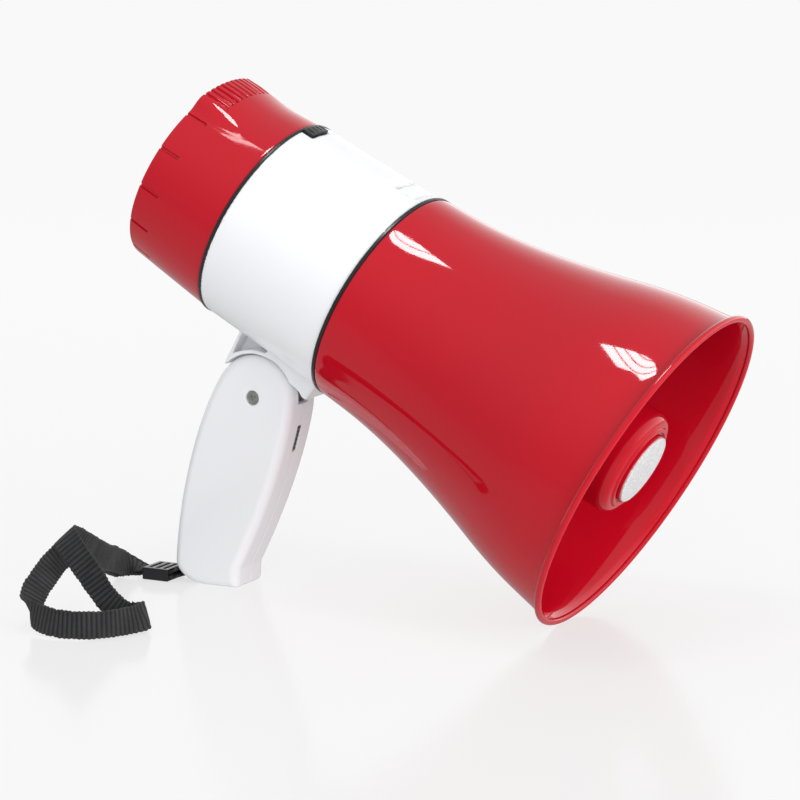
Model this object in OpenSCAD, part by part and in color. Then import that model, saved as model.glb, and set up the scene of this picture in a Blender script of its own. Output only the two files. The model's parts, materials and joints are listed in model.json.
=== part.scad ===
// Handheld megaphone at rest, standing on the foot of its handle and the bottom of its mouth.
// The origin is the middle of the foot's flat. +X is the side the mouth faces and +Z is up.
// The horn's own frame, used through in_horn(), has its origin at the middle of the rear
// face, +X along the horn to the mouth, and is tilted down by the resting angle.

/* [Horn] */
// Length from the rear face of the cap to the plane of the mouth
horn_len = 250; // [248:1:253]
// Radius of the mouth over its bead
mouth_r = 77.5; // [76.5:0.5:78.5]
// Downward tilt of the horn at rest
tilt = 28.5; // [28:0.25:29]
// Wall of the bell
bell_wall = 2.2; // [1.8:0.1:2.4]
// Radius of the bell where it meets the body
neck_r = 49.8; // [49.6:0.1:50]
// Radius of the bead around the mouth
bead_r = 1.5; // [1.3:0.1:2.2]

/* [Body] */
// Length of the rear cap
cap_len = 42.6; // [42:0.1:43]
// Rear end of the bell, measured from the rear face
bell_start = 109.6; // [109.4:0.1:110]
// Thickness of the black rings
ring_t = 1.6; // [1.4:0.1:1.8]
// Radius of the body's bore
bore_r = 45.4; // [45.3:0.05:45.5]
// Radius of the cap at its rear edge
cap_rear_r = 44.5; // [44.2:0.1:44.8]
// Grooves around the cap's rear edge
cap_grooves = 12; // [10:2:12]

/* [Handle] */
// Handle pivot, measured along the horn from the rear face
pivot_along = 79; // [78.5:0.5:79.5]
// Handle pivot, measured down from the horn's axis
pivot_down = 70; // [70:0.25:70.5]
// Width of the handle across both shells
handle_w = 26; // [25:0.5:27]
// Radius of the handle's round head
head_r = 19.2; // [19:0.1:19.3]
// Wall of the handle shells
shell_t = 2.4; // [2.2:0.1:2.6]

/* [Strap] */
// Width of the wrist strap
strap_w = 12; // [11:0.5:12]
// Thickness of the wrist strap
strap_t = 1.3; // [1.2:0.1:1.4]

/* [Hidden] */

round_fn = 96;
small_fn = 32;
white = "#eef0f4";
red = "#c01020";
black = "#202020";
steel = "#b0b4b8";

// Resting geometry. The mouth's lowest point and the foot both touch z = 0.
horn_z = horn_len * sin(tilt) + mouth_r * cos(tilt);
pivot_z = horn_z - pivot_along * sin(tilt) - pivot_down * cos(tilt);
pivot_x = 18;
horn_x = pivot_x - pivot_along * cos(tilt) + pivot_down * sin(tilt);

// Stations along the horn, from the rear face
body_start = cap_len + ring_t;
body_end = bell_start - ring_t - 0.2;
body_rear_r = 47.9;
body_front_r = 49.3;
spigot_len = 8.6;
spigot_r = bore_r + 1.8;
bulkhead_x = 106;
bulkhead_bore = 13;
bell_screw_spots = [for (a = [30, 150, 270]) 41 * [sin(a), cos(a)]];
driver_screw_spots = [for (a = [90, 210, 330]) 27 * [sin(a), cos(a)]];
gap = 0.15;

// Central reflector
lip_r = 19.6;
lip_in_r = 17.5;
lip_x = horn_len - 3.4;
badge_x = horn_len - 2.4;
badge_r = 15.9;
stand_r = 16.4;
moat_x = badge_x - 2;
nose_round = 6;
nose_r = 24.5;
cup_end_x = 165;
cup_end_r = 33;
cup_wall = 2;
hub_x = 222;
hub_len = 11;

// Latch and bayonet
latch_mid = -5;
latch_half = 8;
latch_len = 5.4;
lug_half = 12;
collar_out = 43;
collar_in = 41;
collar_end = 56;

// Control panel
panel_r = 37;
panel_x = 1.5;
panel_t = 2.2;
knob_y = 19;
knob_z = -11;
slider_y = -19;
slider_z = -11;
button_z = -26;
button_y = 8;
mic_z = 12;
board_x = 14;
board_t = 1.6;
post_spots = [[29, 12], [-29, 12], [0, -31.4]];

// Battery
cell_r = 13.1;
cell_off = 14.2;
cell_back = 22.2;
cell_len = 48.6;

// Handle
half_w = handle_w / 2;
bush_r = 4;
bolt_r = 2;
tongue_half = 4.5;
tongue_r = 11;
head_clear = 0.7;
neck_arc_r = 24.3;
key_angle = 16.3;
key_x = 15;
key_z = -18.9;
pin_x = -33;
pin_z = -78.5;
pin_r = 1.78;
boss_r = 3.2;
screw_sink = 4;
screw_spots = [[-24, -34], [-31, -68], [-1, -56]];

function bez3(p, t) =
    pow(1 - t, 3) * p[0] + 3 * pow(1 - t, 2) * t * p[1]
    + 3 * (1 - t) * t * t * p[2] + pow(t, 3) * p[3];
function bez2(p, t) = pow(1 - t, 2) * p[0] + 2 * (1 - t) * t * p[1] + t * t * p[2];
function curve3(p, n) = [for (i = [0:n]) bez3(p, i / n)];
function curve2(p, n) = [for (i = [0:n]) bez2(p, i / n)];
function arc(c, r, from, to, n) =
    [for (i = [0:n]) let (a = from + (to - from) * i / n) c + r * [cos(a), sin(a)]];
function flip(p) = [for (i = [len(p) - 1:-1:0]) p[i]];
function swap(p) = [for (q = p) [q[1], q[0]]];

// Places children given in the horn's own frame
module in_horn() {
    translate([horn_x, 0, horn_z]) rotate([0, tilt, 0]) children();
}

// Revolves a profile of [station, radius] points about the horn's axis
module turned(points, fn = round_fn) {
    rotate([0, 90, 0]) rotate_extrude($fn = fn) polygon(swap(points));
}

// A ring or disc about the horn's axis
module ring(x0, x1, r_out, r_in = 0, fn = round_fn) {
    translate([x0, 0, 0]) rotate([0, 90, 0]) difference() {
        cylinder(r = r_out, h = x1 - x0, $fn = fn);
        if (r_in > 0) translate([0, 0, -1]) cylinder(r = r_in, h = x1 - x0 + 2, $fn = fn);
    }
}

// A rod parallel to the horn's axis at [y, z]
module rod(x0, x1, at, r, fn = small_fn) {
    translate([x0, at[0], at[1]]) rotate([0, 90, 0]) cylinder(r = r, h = x1 - x0, $fn = fn);
}

// A wedge about the horn's axis, centred on the angle from straight up
module sector(x0, x1, r, mid, half) {
    translate([x0, 0, 0]) rotate([0, 90, 0]) linear_extrude(x1 - x0)
        polygon([[0, 0], for (i = [-4:4]) let (a = mid + half * i / 4) r * [-cos(a), sin(a)]]);
}

// A cross-head screw along the horn's axis, its head at the rear end
module axial_screw(x0, head_t, head_r, shank_end, shank_r, at) {
    difference() {
        union() {
            rod(x0, x0 + head_t, at, head_r);
            rod(x0 + head_t - 0.01, shank_end, at, shank_r);
        }
        translate([x0 - 0.1, at[0], at[1]]) {
            translate([0, -head_r * 0.6, -0.35]) cube([head_t * 0.6, head_r * 1.2, 0.7]);
            translate([0, -0.35, -head_r * 0.6]) cube([head_t * 0.6, 0.7, head_r * 1.2]);
        }
    }
}

// A row of closed rings that stands for a short coil spring, along +X
module coil(length, r, wire, turns) {
    pitch = (length - 2 * wire) / (turns - 1);
    bar = wire * 1.2;
    for (i = [0:turns - 1]) translate([wire + i * pitch, 0, 0]) rotate([0, 90, 0])
        rotate_extrude($fn = small_fn) translate([r, 0]) circle(wire, $fn = 16);
    translate([wire / 2, r - bar / 2, -bar / 2]) cube([length - wire, bar, bar]);
}

// ---------------------------------------------------------------- horn

bead_c = [horn_len - 0.4, mouth_r - bead_r];
bead_from = 200;
flare = [202.3, 65.9];
bell_rear = [[bell_start, neck_r], [122.8, neck_r + 1.03], [144.7, 48.9], flare];
bell_front = [flare, [228.5, 73.65], [240.8, 73.05],
              bead_c + bead_r * [cos(bead_from), sin(bead_from)]];
bell_in_end = [horn_len - 2.8, mouth_r - bead_r - 2.9];

// Control points of the bell's inner face, one wall below the outer ones
function inside(points) = [for (p = points) p - [0, bell_wall]];

module bell() {
    color(red) in_horn() difference() {
        union() {
            turned(concat(
                curve3(bell_rear, 26), curve3(bell_front, 18),
                arc(bead_c, bead_r, bead_from, -110, 16),
                flip(curve3(concat(inside([for (i = [0:2]) bell_front[i]]), [bell_in_end]), 18)),
                flip(curve3(inside(bell_rear), 26))
            ), 128);
            ring(bell_start, bell_start + 3, neck_r - bell_wall + 0.1, bulkhead_bore);
            ring(bulkhead_x, bell_start + 1, spigot_r - gap, bulkhead_bore);
            ring(bell_start - spigot_len, bell_start + 1, spigot_r - gap, spigot_r - 2.4);
            for (p = bell_screw_spots) rod(99.2, bulkhead_x + 1, p, 3.2);
        }
        for (p = bell_screw_spots) rod(99, bulkhead_x, p, 1.2);
        for (p = driver_screw_spots) rod(100, bulkhead_x + 5, p, 1.2);
    }
}

module front_ring() {
    color(black) in_horn() ring(bell_start - ring_t - 0.1, bell_start - 0.05, 50.1, spigot_r);
}

module rear_ring() {
    color(black) in_horn() ring(cap_len + 0.1, body_start - 0.05, 48.2, bore_r + 0.1);
}

module throat_tube() {
    tube_r = bulkhead_bore - 0.15;
    color("#303030") in_horn() difference() {
        union() {
            difference() {
                union() {
                    ring(bulkhead_x, 206, tube_r);
                    ring(bell_start + 3.1, bell_start + 5, 22);
                }
                turned([[bulkhead_x - 1, 0], [bulkhead_x - 1, 8], [207, 11], [207, 0]]);
            }
            ring(hub_x, hub_x + hub_len, 4.2, 0, small_fn);
            for (a = [0, 120, 240]) rotate([a, 0, 0]) translate([198, -1, 2])
                cube([hub_x + hub_len - 198, 2, tube_r - 2.4]);
        }
        ring(hub_x - 25, hub_x + hub_len + 1, 1.55, 0, small_fn);
    }
}

module reflector() {
    nose_c = [lip_x - nose_round, nose_r - nose_round];
    side = curve3([[nose_c[0], nose_r], [215, nose_r + 1.2], [190, 28], [cup_end_x, cup_end_r]], 20);
    inner = curve3([[nose_c[0] - 1, nose_r - cup_wall], [215, nose_r + 1.2 - cup_wall],
                    [190, 28 - cup_wall], [cup_end_x, cup_end_r - cup_wall]], 20);
    color(red) in_horn() difference() {
        union() {
            turned(concat(
                [[badge_x, 0], [badge_x, stand_r - 0.2], [badge_x - 0.2, stand_r], [moat_x, stand_r],
                 [moat_x, lip_in_r], [lip_x - 0.4, lip_in_r], [lip_x, lip_in_r + 0.4],
                 [lip_x, lip_r - 0.5], [lip_x - 0.5, lip_r], [lip_x - 1.2, lip_r]],
                arc(nose_c, nose_round, 72, 90, 6),
                side,
                flip(inner),
                [[moat_x - cup_wall, nose_r - cup_wall - 5], [moat_x - cup_wall, 0]]
            ));
            ring(hub_x + hub_len + 0.1, badge_x - 0.5, 5.5, 0, small_fn);
        }
        ring(hub_x, badge_x + 1, 1.6, 0, small_fn);
        ring(badge_x - 1.8, badge_x + 1, 3.2, 0, small_fn);
    }
}

module reflector_screw() {
    color(steel) in_horn() translate([badge_x, 0, 0]) mirror([1, 0, 0])
        axial_screw(0.15, 1.6, 3, 21.4, 1.5, [0, 0]);
}

module badge_disc() {
    color("#d8dade") in_horn() ring(badge_x + 0.05, badge_x + 0.9, badge_r);
}

// ---------------------------------------------------------------- body

bridge_x0 = 89;
bridge_x1 = 105;
bridge_half = 9.5;

module body_outer() {
    turned([[body_start, 40], [body_start, body_rear_r - 0.2], [body_start + 0.3, body_rear_r],
            [60, body_rear_r + 0.15], [85, body_rear_r + 0.65], [body_end, body_front_r],
            [body_end, 40]]);
}

// Side outline of the bracket that carries the handle, as [along, up] from the horn's axis
module bracket_side() {
    polygon([[59.4, -40], [59.4, -66.5], [60.4, -68], [62.5, -68], [75, -60], [96, -60],
             [99, -56.4], [101.8, -56.4], [103, -50], [103.4, -40]]);
}

module bracket() {
    rotate([90, 0, 0]) difference() {
        translate([0, 0, -half_w]) linear_extrude(handle_w) bracket_side();
        translate([pivot_along, -pivot_down, -half_w - 1])
            cylinder(r = head_r + head_clear, h = handle_w + 2, $fn = round_fn);
        intersection() {
            translate([pivot_along, -pivot_down, -half_w - 1])
                cylinder(r = neck_arc_r, h = handle_w + 2, $fn = round_fn);
            translate([pivot_along, -pivot_down - 10, -half_w - 1])
                cube([40, 60, handle_w + 2]);
        }
        for (from = [-half_w, tongue_half]) translate([0, 0, from])
            linear_extrude(half_w - tongue_half) difference() {
                polygon([[60.8, -40], [60.8, -62], [73.5, -50.5], [76, -47.3], [76, -40]]);
                translate([pivot_along, -pivot_down]) circle(head_r + head_clear + 1.7, $fn = round_fn);
            }
    }
}

module tongue() {
    rotate([90, 0, 0]) translate([0, 0, -tongue_half]) linear_extrude(2 * tongue_half) {
        translate([pivot_along, -pivot_down]) circle(tongue_r, $fn = 64);
        translate([pivot_along - 9, -pivot_down]) square([13, 27]);
    }
}

module strap_bridge_block() {
    translate([bridge_x0 - 2, -bridge_half - 2, bore_r - 4.5])
        cube([bridge_x1 - bridge_x0 + 2, 2 * bridge_half + 4, 6]);
}

// Two scoops in the body's top with a bar left between them
module strap_bridge_cut() {
    rotate([90, 0, 0]) translate([0, 0, -bridge_half]) linear_extrude(2 * bridge_half) {
        polygon([[bridge_x0, 50], [bridge_x0, 48], [bridge_x0 + 5, 43.6], [bridge_x0 + 6.5, 43.6],
                 [bridge_x0 + 6.5, 50]]);
        polygon([[bridge_x1, 50], [bridge_x1, 48.4], [bridge_x1 - 4, 43.6], [bridge_x1 - 5.5, 43.6],
                 [bridge_x1 - 5.5, 50]]);
        translate([bridge_x0 + 5, 43.6]) square([6, 2.2]);
    }
}

module body_shell() {
    color(white) in_horn() difference() {
        union() {
            difference() {
                union() {
                    body_outer();
                    bracket();
                    tongue();
                }
                ring(body_start - 1, 97, bore_r);
                ring(96, body_end + 1, spigot_r);
            }
            difference() {
                intersection() {
                    strap_bridge_block();
                    ring(60, 101.5, body_rear_r);
                }
                ring(98.9, 110, spigot_r);
            }
            ring(96.5, 99, bore_r + 1.5, 37.5);
            ring(74, 76, bore_r + 0.5, 43.2);
            difference() {
                ring(48.3, 51.4, bore_r + 0.5, 43.3);
                for (a = [0, 120, 240]) sector(48, 52, 60, a, 60 - lug_half - 1);
            }
        }
        strap_bridge_cut();
        sector(body_start - 1, body_start + latch_len + 0.6, 60, latch_mid, latch_half + 0.7);
        translate([pivot_along, 0, -pivot_down]) rotate([90, 0, 0])
            translate([0, 0, -10]) cylinder(r = bush_r + 0.05, h = 20, $fn = 48);
        for (p = bell_screw_spots) rod(96, 100, p, 1.5);
    }
}

module bell_screws() {
    color(steel) in_horn() for (p = bell_screw_spots)
        axial_screw(94.4, 2, 2.6, 105, 1.15, p);
}

module latch_button() {
    color(black) in_horn() {
        difference() {
            intersection() {
                ring(body_start + 0.2, body_start + latch_len, 49.2, 45.6);
                sector(0, 100, 60, latch_mid, latch_half);
            }
            for (i = [-1.5:1:1.5]) rotate([-latch_mid - 3.8 * i, 0, 0])
                translate([body_start + 1.2, -0.4, 48.7]) cube([latch_len - 2.2, 0.8, 2]);
        }
        translate([body_start + 1.4, -8, 44.2]) cube([latch_len - 2.8, 8, 2]);
    }
}

module latch_spring() {
    color(steel) in_horn() translate([body_start + 1.2, -11, 43.6])
        cube([latch_len - 2.4, 22, 0.4]);
}

// ---------------------------------------------------------------- driver

module driver_housing() {
    color("#404448") in_horn() difference() {
        union() {
            ring(101, 105.9, 31, 8.5);
            ring(92.2, 101.1, 31, 21);
        }
        for (p = driver_screw_spots) rod(92, 107, p, 1.6);
    }
}

module driver_screws() {
    color(steel) in_horn() for (p = driver_screw_spots)
        axial_screw(90.1, 2, 2.6, 108.5, 1.15, p);
}

module diaphragm() {
    color("#c8b890") in_horn() turned([
        [98.4, 0], [97.9, 5], [96.6, 9], [94.2, 10.9], [95.8, 14], [95.4, 18], [94.4, 20.4],
        [93.9, 20.4], [94.9, 17.9], [95.3, 14], [93.7, 10.95], [93.65, 10.5], [96.2, 8.7],
        [97.4, 4.9], [97.9, 0]
    ]);
}

module voice_coil() {
    color("#b06030") in_horn() ring(86, 93.6, 10.9, 10.2);
}

module top_plate() {
    color(steel) in_horn() ring(88.05, 92.1, 23, 11.3);
}

module magnet() {
    color("#383838") in_horn() ring(80.05, 88, 22, 12.5);
}

module yoke() {
    color(steel) in_horn() {
        ring(76.3, 80, 23);
        ring(79.9, 91, 9.8);
    }
}

module driver_leads() {
    color("#902020") in_horn() for (s = [-1, 1]) {
        rod(18, 89.2, [s * 4, -39], 0.8, 16);
        translate([88.4, s * 4, -39]) sphere(0.8, $fn = 16);
        translate([88.4, s * 4, -39]) cylinder(r = 0.8, h = 12, $fn = 16);
    }
}

// ---------------------------------------------------------------- battery

cell_spots = [for (sy = [-1, 1], sz = [-1, 1]) cell_off * [sy, sz]];

module battery_holder() {
    color(black) in_horn() difference() {
        union() {
            ring(71.2, 73.8, bore_r - 0.15);
            ring(24, 71.3, 36.8, 35);
            for (a = [0, 90]) rotate([a, 0, 0]) translate([21, -0.75, -35.4])
                cube([50.3, 1.5, 70.8]);
            ring(19.8, 40, 4, 0, small_fn);
        }
        for (s = [-1, 1]) rod(70, 75, [s * 4, -39], 1.2);
        ring(19, 34, 1.3, 0, small_fn);
    }
}

module c_cells() {
    color("#b8902c") in_horn() for (c = cell_spots) {
        rod(cell_back, cell_back + cell_len - 1.6, c, cell_r, 64);
        rod(cell_back + cell_len - 1.7, cell_back + cell_len - 0.1, c, 3.6);
    }
}

module cell_contacts() {
    color(steel) in_horn() for (c = cell_spots)
        rod(cell_back + cell_len, cell_back + cell_len + 0.35, c, 6);
}

module cell_springs() {
    color(steel) in_horn() for (c = cell_spots)
        translate([19.75, c[0], c[1]]) coil(2.35, 4.5, 0.4, 3);
}

module battery_lid() {
    color(black) in_horn() difference() {
        ring(17.9, 19.7, 36.5);
        ring(17, 20, 1.6, 0, small_fn);
    }
}

module lid_screw() {
    color(steel) in_horn() axial_screw(16.3, 1.5, 2.8, 30, 1.25, [0, 0]);
}

// ---------------------------------------------------------------- cap and controls

cap_curve = [[1, cap_rear_r], [20, 46], [cap_len, 47.6]];
cap_inside = [[5.5, 42.3], [20, 43.7], [cap_len, 45.3]];
pad_circle_r = 58;
pad_top = 46.9;
pad_mid = -10;
pad_half = 28;
pad_ribs = 12;
rib_pitch = 4.3;
rib_mid = -6;

// Radius of the thumb pad's surface at an angle from the pad's middle
function pad_surface(a) =
    let (c = pad_circle_r - pad_top, b = c * cos(a))
    sqrt(b * b + pad_circle_r * pad_circle_r - c * c) - b;
// The same with its long edges rounded down into the cap
function pad_r(a) =
    let (edge = max(0, abs(a) - pad_half + 9) / 9)
    pad_surface(a) - (pad_surface(a) - cap_rear_r + 1) * edge * edge * edge;

module thumb_pad() {
    translate([0.4, 0, 0]) rotate([0, 90, 0]) linear_extrude(36)
        polygon(concat(
            [for (i = [-24:24]) let (a = pad_half * i / 24)
                pad_r(a) * [-cos(pad_mid + a), sin(pad_mid + a)]],
            [for (i = [6:-1:-6]) let (a = pad_mid + pad_half * i / 6) 42 * [-cos(a), sin(a)]]
        ));
}

module rear_cap() {
    color(red) in_horn() difference() {
        union() {
            turned(concat([[0, panel_r + 0.2], [0, cap_rear_r - 1]],
                arc([1, cap_rear_r - 1], 1, 180, 90, 6), curve2(cap_curve, 16),
                flip(curve2(cap_inside, 16)), [[5.5, 34.4], [3.8, 34.4], [3.8, panel_r + 0.2]]));
            thumb_pad();
            ring(36, 38.5, 46, collar_in);
            ring(36, collar_end, collar_out, collar_in);
            for (a = [0, 120, 240]) intersection() {
                ring(52.6, 55.4, 45.1, 42.5);
                sector(52, 56, 60, 60 + a, lug_half);
            }
        }
        for (i = [0:cap_grooves - 1]) rotate([-(45 + i * 270 / (cap_grooves - 1)), 0, 0])
            translate([-1, -0.7, cap_rear_r - 0.5]) rotate([0, -4.5, 0]) cube([13, 1.4, 4]);
        for (i = [0:pad_ribs - 1]) let (a = rib_mid + (i - (pad_ribs - 1) / 2) * rib_pitch)
            rotate([-a, 0, 0])
                translate([-1, -0.65, max(pad_r(a - pad_mid), cap_rear_r + 0.3) - 1])
                    cube([14.5, 1.3, 4]);
    }
}

module control_panel() {
    color("#2c2c30") in_horn() difference() {
        union() {
            ring(panel_x, panel_x + panel_t, panel_r);
            for (p = post_spots) rod(panel_x + 1, board_x - 0.1, p, 2.8);
        }
        rod(0, 5, [0, mic_z], 10);
        rod(0, 5, [knob_y, knob_z], 4.4);
        for (s = [-1, 1]) rod(0, 5, [s * button_y, button_z], 3.8);
        translate([0, slider_y - 2.4, slider_z - 6.5]) cube([5, 4.8, 13]);
        for (p = post_spots) rod(7, 15, p, 1.1);
    }
}

module mic_grille() {
    color(black) in_horn() difference() {
        rod(1, 3.6, [0, mic_z], 9.8, 64);
        rod(0, 4.5, [0, mic_z], 0.9, 24);
        for (k = [1:3], i = [0:6 * k - 1]) rod(0, 4.5,
            [2.6 * k * sin(60 * i / k), mic_z + 2.6 * k * cos(60 * i / k)], 0.9, 24);
    }
}

module mic_seal() {
    color("#505050") in_horn() translate([0, 0, mic_z]) ring(3.9, 8.4, 8.5, 5.15, 48);
}

module microphone() {
    color(steel) in_horn() {
        rod(5, 11.5, [0, mic_z], 5, 48);
        for (s = [-1, 1]) rod(11.4, board_x - 0.1, [s * 1.3, mic_z], 0.4, 16);
    }
}

module control_board() {
    color("#206030") in_horn() difference() {
        ring(board_x, board_x + board_t, 34);
        for (p = post_spots) rod(13, 17, p, 1.3);
        rod(13, 17, [0, 0], 3.4);
    }
}

module board_screws() {
    color(steel) in_horn() for (p = post_spots)
        translate([board_x + board_t + 0.05, 0, 0]) mirror([1, 0, 0])
            axial_screw(-1.4, 1.4, 2.2, 8, 1.05, p);
}

module potentiometer() {
    color("#707478") in_horn() {
        translate([7.5, knob_y - 6, knob_z - 6]) cube([6.4, 12, 12]);
        rod(-2.4, 7.6, [knob_y, knob_z], 2.5);
    }
}

module slide_switch() {
    color("#707478") in_horn() translate([7.5, slider_y - 3.5, slider_z - 8]) cube([6.4, 7, 16]);
}

module tact_switches() {
    color("#303030") in_horn() for (s = [-1, 1]) {
        translate([9, s * button_y - 3, button_z - 3]) cube([4.9, 6, 6]);
        rod(6.6, 9.1, [s * button_y, button_z], 1.7);
    }
}

module volume_knob() {
    color("#e8e8ea") in_horn() difference() {
        union() {
            rod(-4, 0.9, [knob_y, knob_z], 8, 64);
            rod(0.8, 5, [knob_y, knob_z], 4.2);
        }
        rod(-2.6, 6, [knob_y, knob_z], 2.56);
        for (i = [0:17]) rod(-5, 0.2,
            [knob_y + 8.3 * cos(20 * i), knob_z + 8.3 * sin(20 * i)], 0.7, 16);
        translate([-4.5, knob_y - 0.5, knob_z + 3]) cube([1, 1, 4]);
    }
}

module mode_slider() {
    color("#e8e8ea") in_horn() translate([0, slider_y, slider_z]) {
        difference() {
            translate([-0.6, -2.1, -6.2]) cube([4.8, 4.2, 5]);
            for (z = [-5, -3.7, -2.4]) translate([-1, -3, z - 0.3]) cube([0.9, 6, 0.6]);
        }
        translate([4.1, -3.2, -6.6]) cube([1.5, 6.4, 5.8]);
    }
}

module push_button(side) {
    in_horn() {
        rod(-0.3, 4.4, [side * button_y, button_z], 3.6, 48);
        rod(4.1, 5.3, [side * button_y, button_z], 4.6, 48);
    }
}

module record_button() {
    color("#d04040") push_button(-1);
}

module play_button() {
    color("#e8e8ea") push_button(1);
}

// ---------------------------------------------------------------- handle

// Side outline of the handle, as [x, z] from its pivot
function handle_outline(foot) = concat(
    arc([0, 0], head_r, 142, -10, 24),
    curve3([[18.9, -4.4], [16.6, -20], [7.6, -48], [-8.6, -79]], 14),
    arc([-11.3, -foot + 2.2], 2.2, 0, -90, 4),
    curve3([[-26, -foot], [-36, -foot], [-41.6, -foot + 5.2], [-41.8, -foot + 10.2]], 8),
    curve3([[-41.8, -foot + 10.3], [-40, -44], [-28, -6], [-15.7, 11.5]], 14)
);

module in_handle() {
    translate([pivot_x, 0, pivot_z]) children();
}

// Runs children through the handle's width, side -1 for y < 0 and 1 for y > 0
module across(from, to) {
    rotate([90, 0, 0]) translate([0, 0, -to]) linear_extrude(to - from) children();
}

// Solid outline of one shell, its outer edge rounded in two steps
module shell_outline(outline) {
    hull() {
        across(0, half_w - 4) polygon(outline);
        across(0, half_w - 1.3) offset(delta = -1.2) polygon(outline);
        across(0, half_w) offset(delta = -3.6) polygon(outline);
    }
}

// Hollow inside a shell, less the bosses that carry the screws, the strap pin and the switch
module shell_hollow(outline) {
    switch_corner = [key_x * cos(key_angle) - key_z * sin(key_angle) - 16.5,
                     key_z * cos(key_angle) + key_x * sin(key_angle) - 14.5];
    difference() {
        across(-1, half_w - shell_t) offset(delta = -shell_t - 0.6) polygon(outline);
        across(tongue_half + 0.4, half_w) circle(8, $fn = 48);
        for (p = screw_spots) across(0, half_w) translate(p) circle(boss_r, $fn = 24);
        across(6.6, half_w) translate([pin_x, pin_z]) circle(4, $fn = 24);
        rotate([0, key_angle, 0]) translate([switch_corner[0], 3.4, switch_corner[1]])
            cube([7, half_w, 16.5]);
    }
}

// Way out for the strap at the shell's rear bottom corner, as far from the middle as reach
module strap_exit(reach) {
    across(-1, reach) polygon([
        [pin_x + 2, pin_z - 3], [pin_x - 4, pin_z + 1], [-50, pin_z - 3],
        [-50, -pivot_z - 1], [pin_x + 1, -pivot_z - 1]
    ]);
}

module handle_side(side) {
    outline = handle_outline(pivot_z);
    nut_side = side > 0;
    mirror([0, nut_side ? 0 : 1, 0]) difference() {
        shell_outline(outline);
        shell_hollow(outline);
        // room for the bracket's tongue as the handle folds
        across(-1, tongue_half + 0.3) {
            circle(tongue_r + 0.6, $fn = 64);
            polygon([[0, 0], for (a = [96:-8:-8]) 30 * [cos(a), sin(a)]]);
        }
        in_key() translate([-8, -1.8, -6.2]) cube([20, 3.6, 12.4]);
        strap_exit(strap_w / 2 + (nut_side ? 0.5 : 4.3));
        across(-1, half_w + 1) circle(bolt_r + 0.05, $fn = small_fn);
        across(-1, 8.6) translate([pin_x, pin_z]) circle(pin_r + 0.04, $fn = 24);
        if (nut_side) {
            across(half_w - 2.8, half_w + 1) circle(3.9, $fn = 6);
            for (p = screw_spots) {
                across(-1, half_w + 1) translate(p) circle(1.5, $fn = 24);
                across(half_w - screw_sink, half_w + 1) translate(p) circle(2.7, $fn = 24);
            }
        } else {
            across(half_w - 1.8, half_w + 1) circle(3.3, $fn = small_fn);
            for (p = screw_spots) across(0, 8) translate(p) circle(1.2, $fn = 24);
        }
    }
}

module handle_left() {
    color(white) in_handle() handle_side(1);
}

module handle_right() {
    color(white) in_handle() handle_side(-1);
}

module pivot_bolt() {
    color("#a8aca0") in_handle() rotate([90, 0, 0]) difference() {
        union() {
            translate([0, 0, half_w - 1.75]) cylinder(r = 2.95, h = 1.3, $fn = small_fn);
            translate([0, 0, -half_w + 0.8]) cylinder(r = bolt_r, h = handle_w - 2.4, $fn = small_fn);
        }
        for (a = [25, 115]) translate([0, 0, half_w - 1.1]) rotate([0, 0, a])
            translate([-2, -0.4, 0]) cube([4, 0.8, 2]);
    }
}

module pivot_nut() {
    color(steel) in_handle() across(half_w - 2.75, half_w - 0.4) difference() {
        circle(3.8, $fn = 6);
        circle(bolt_r + 0.04, $fn = small_fn);
    }
}

module pivot_bush() {
    color("#c0a050") in_handle() across(-tongue_half - 0.35, tongue_half + 0.35) difference() {
        circle(bush_r, $fn = 48);
        circle(bolt_r + 0.05, $fn = small_fn);
    }
}

module handle_screws() {
    color(steel) in_handle() for (p = screw_spots) translate([p[0], 0, p[1]]) rotate([-90, 0, 0]) {
        translate([0, 0, -6.5]) cylinder(r = 1.15, h = half_w - screw_sink + 6.6, $fn = 24);
        translate([0, 0, half_w - screw_sink + 0.05]) difference() {
            cylinder(r = 2.5, h = 1.6, $fn = 24);
            for (a = [0, 90]) rotate([0, 0, a]) translate([-1.5, -0.3, 0.9]) cube([3, 0.6, 1]);
        }
    }
}

// Frame of the talk key: +X points out of the handle's front
module in_key() {
    translate([key_x, 0, key_z]) rotate([0, key_angle, 0]) children();
}

module talk_button() {
    color(black) in_handle() in_key() {
        difference() {
            translate([-5, -1.5, -5.9]) cube([5.4, 3, 11.8]);
            for (z = [-4:2:4]) translate([0.1, -3, z - 0.4]) cube([2, 6, 0.8]);
        }
        translate([-6, -3.2, -7.4]) cube([1.6, 6.4, 14.8]);
    }
}

module talk_spring() {
    color(steel) in_handle() in_key() translate([-9.3, 0, -4.4]) coil(3.2, 1.7, 0.3, 4);
}

module talk_switch() {
    color("#303030") in_handle() in_key() {
        translate([-16, -3.2, -14]) cube([6.6, 6.4, 16]);
        translate([-9.5, 0, 0]) rotate([0, 90, 0]) cylinder(r = 1.1, h = 1.2, $fn = 24);
    }
}

module strap_pin() {
    color(steel) in_handle() across(-8.5, 8.5) translate([pin_x, pin_z]) circle(pin_r, $fn = 24);
}

// ---------------------------------------------------------------- wrist strap

// The slider's middle, its outside, and the heights of the two layers that pass through it
slider_c = [-33, -6.5];
slider_size = [13.5, 15.4, 5.6];
layer_z = [1.9, 3.5];
layers_low = 1.2;
layers_high = 4.2;

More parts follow.
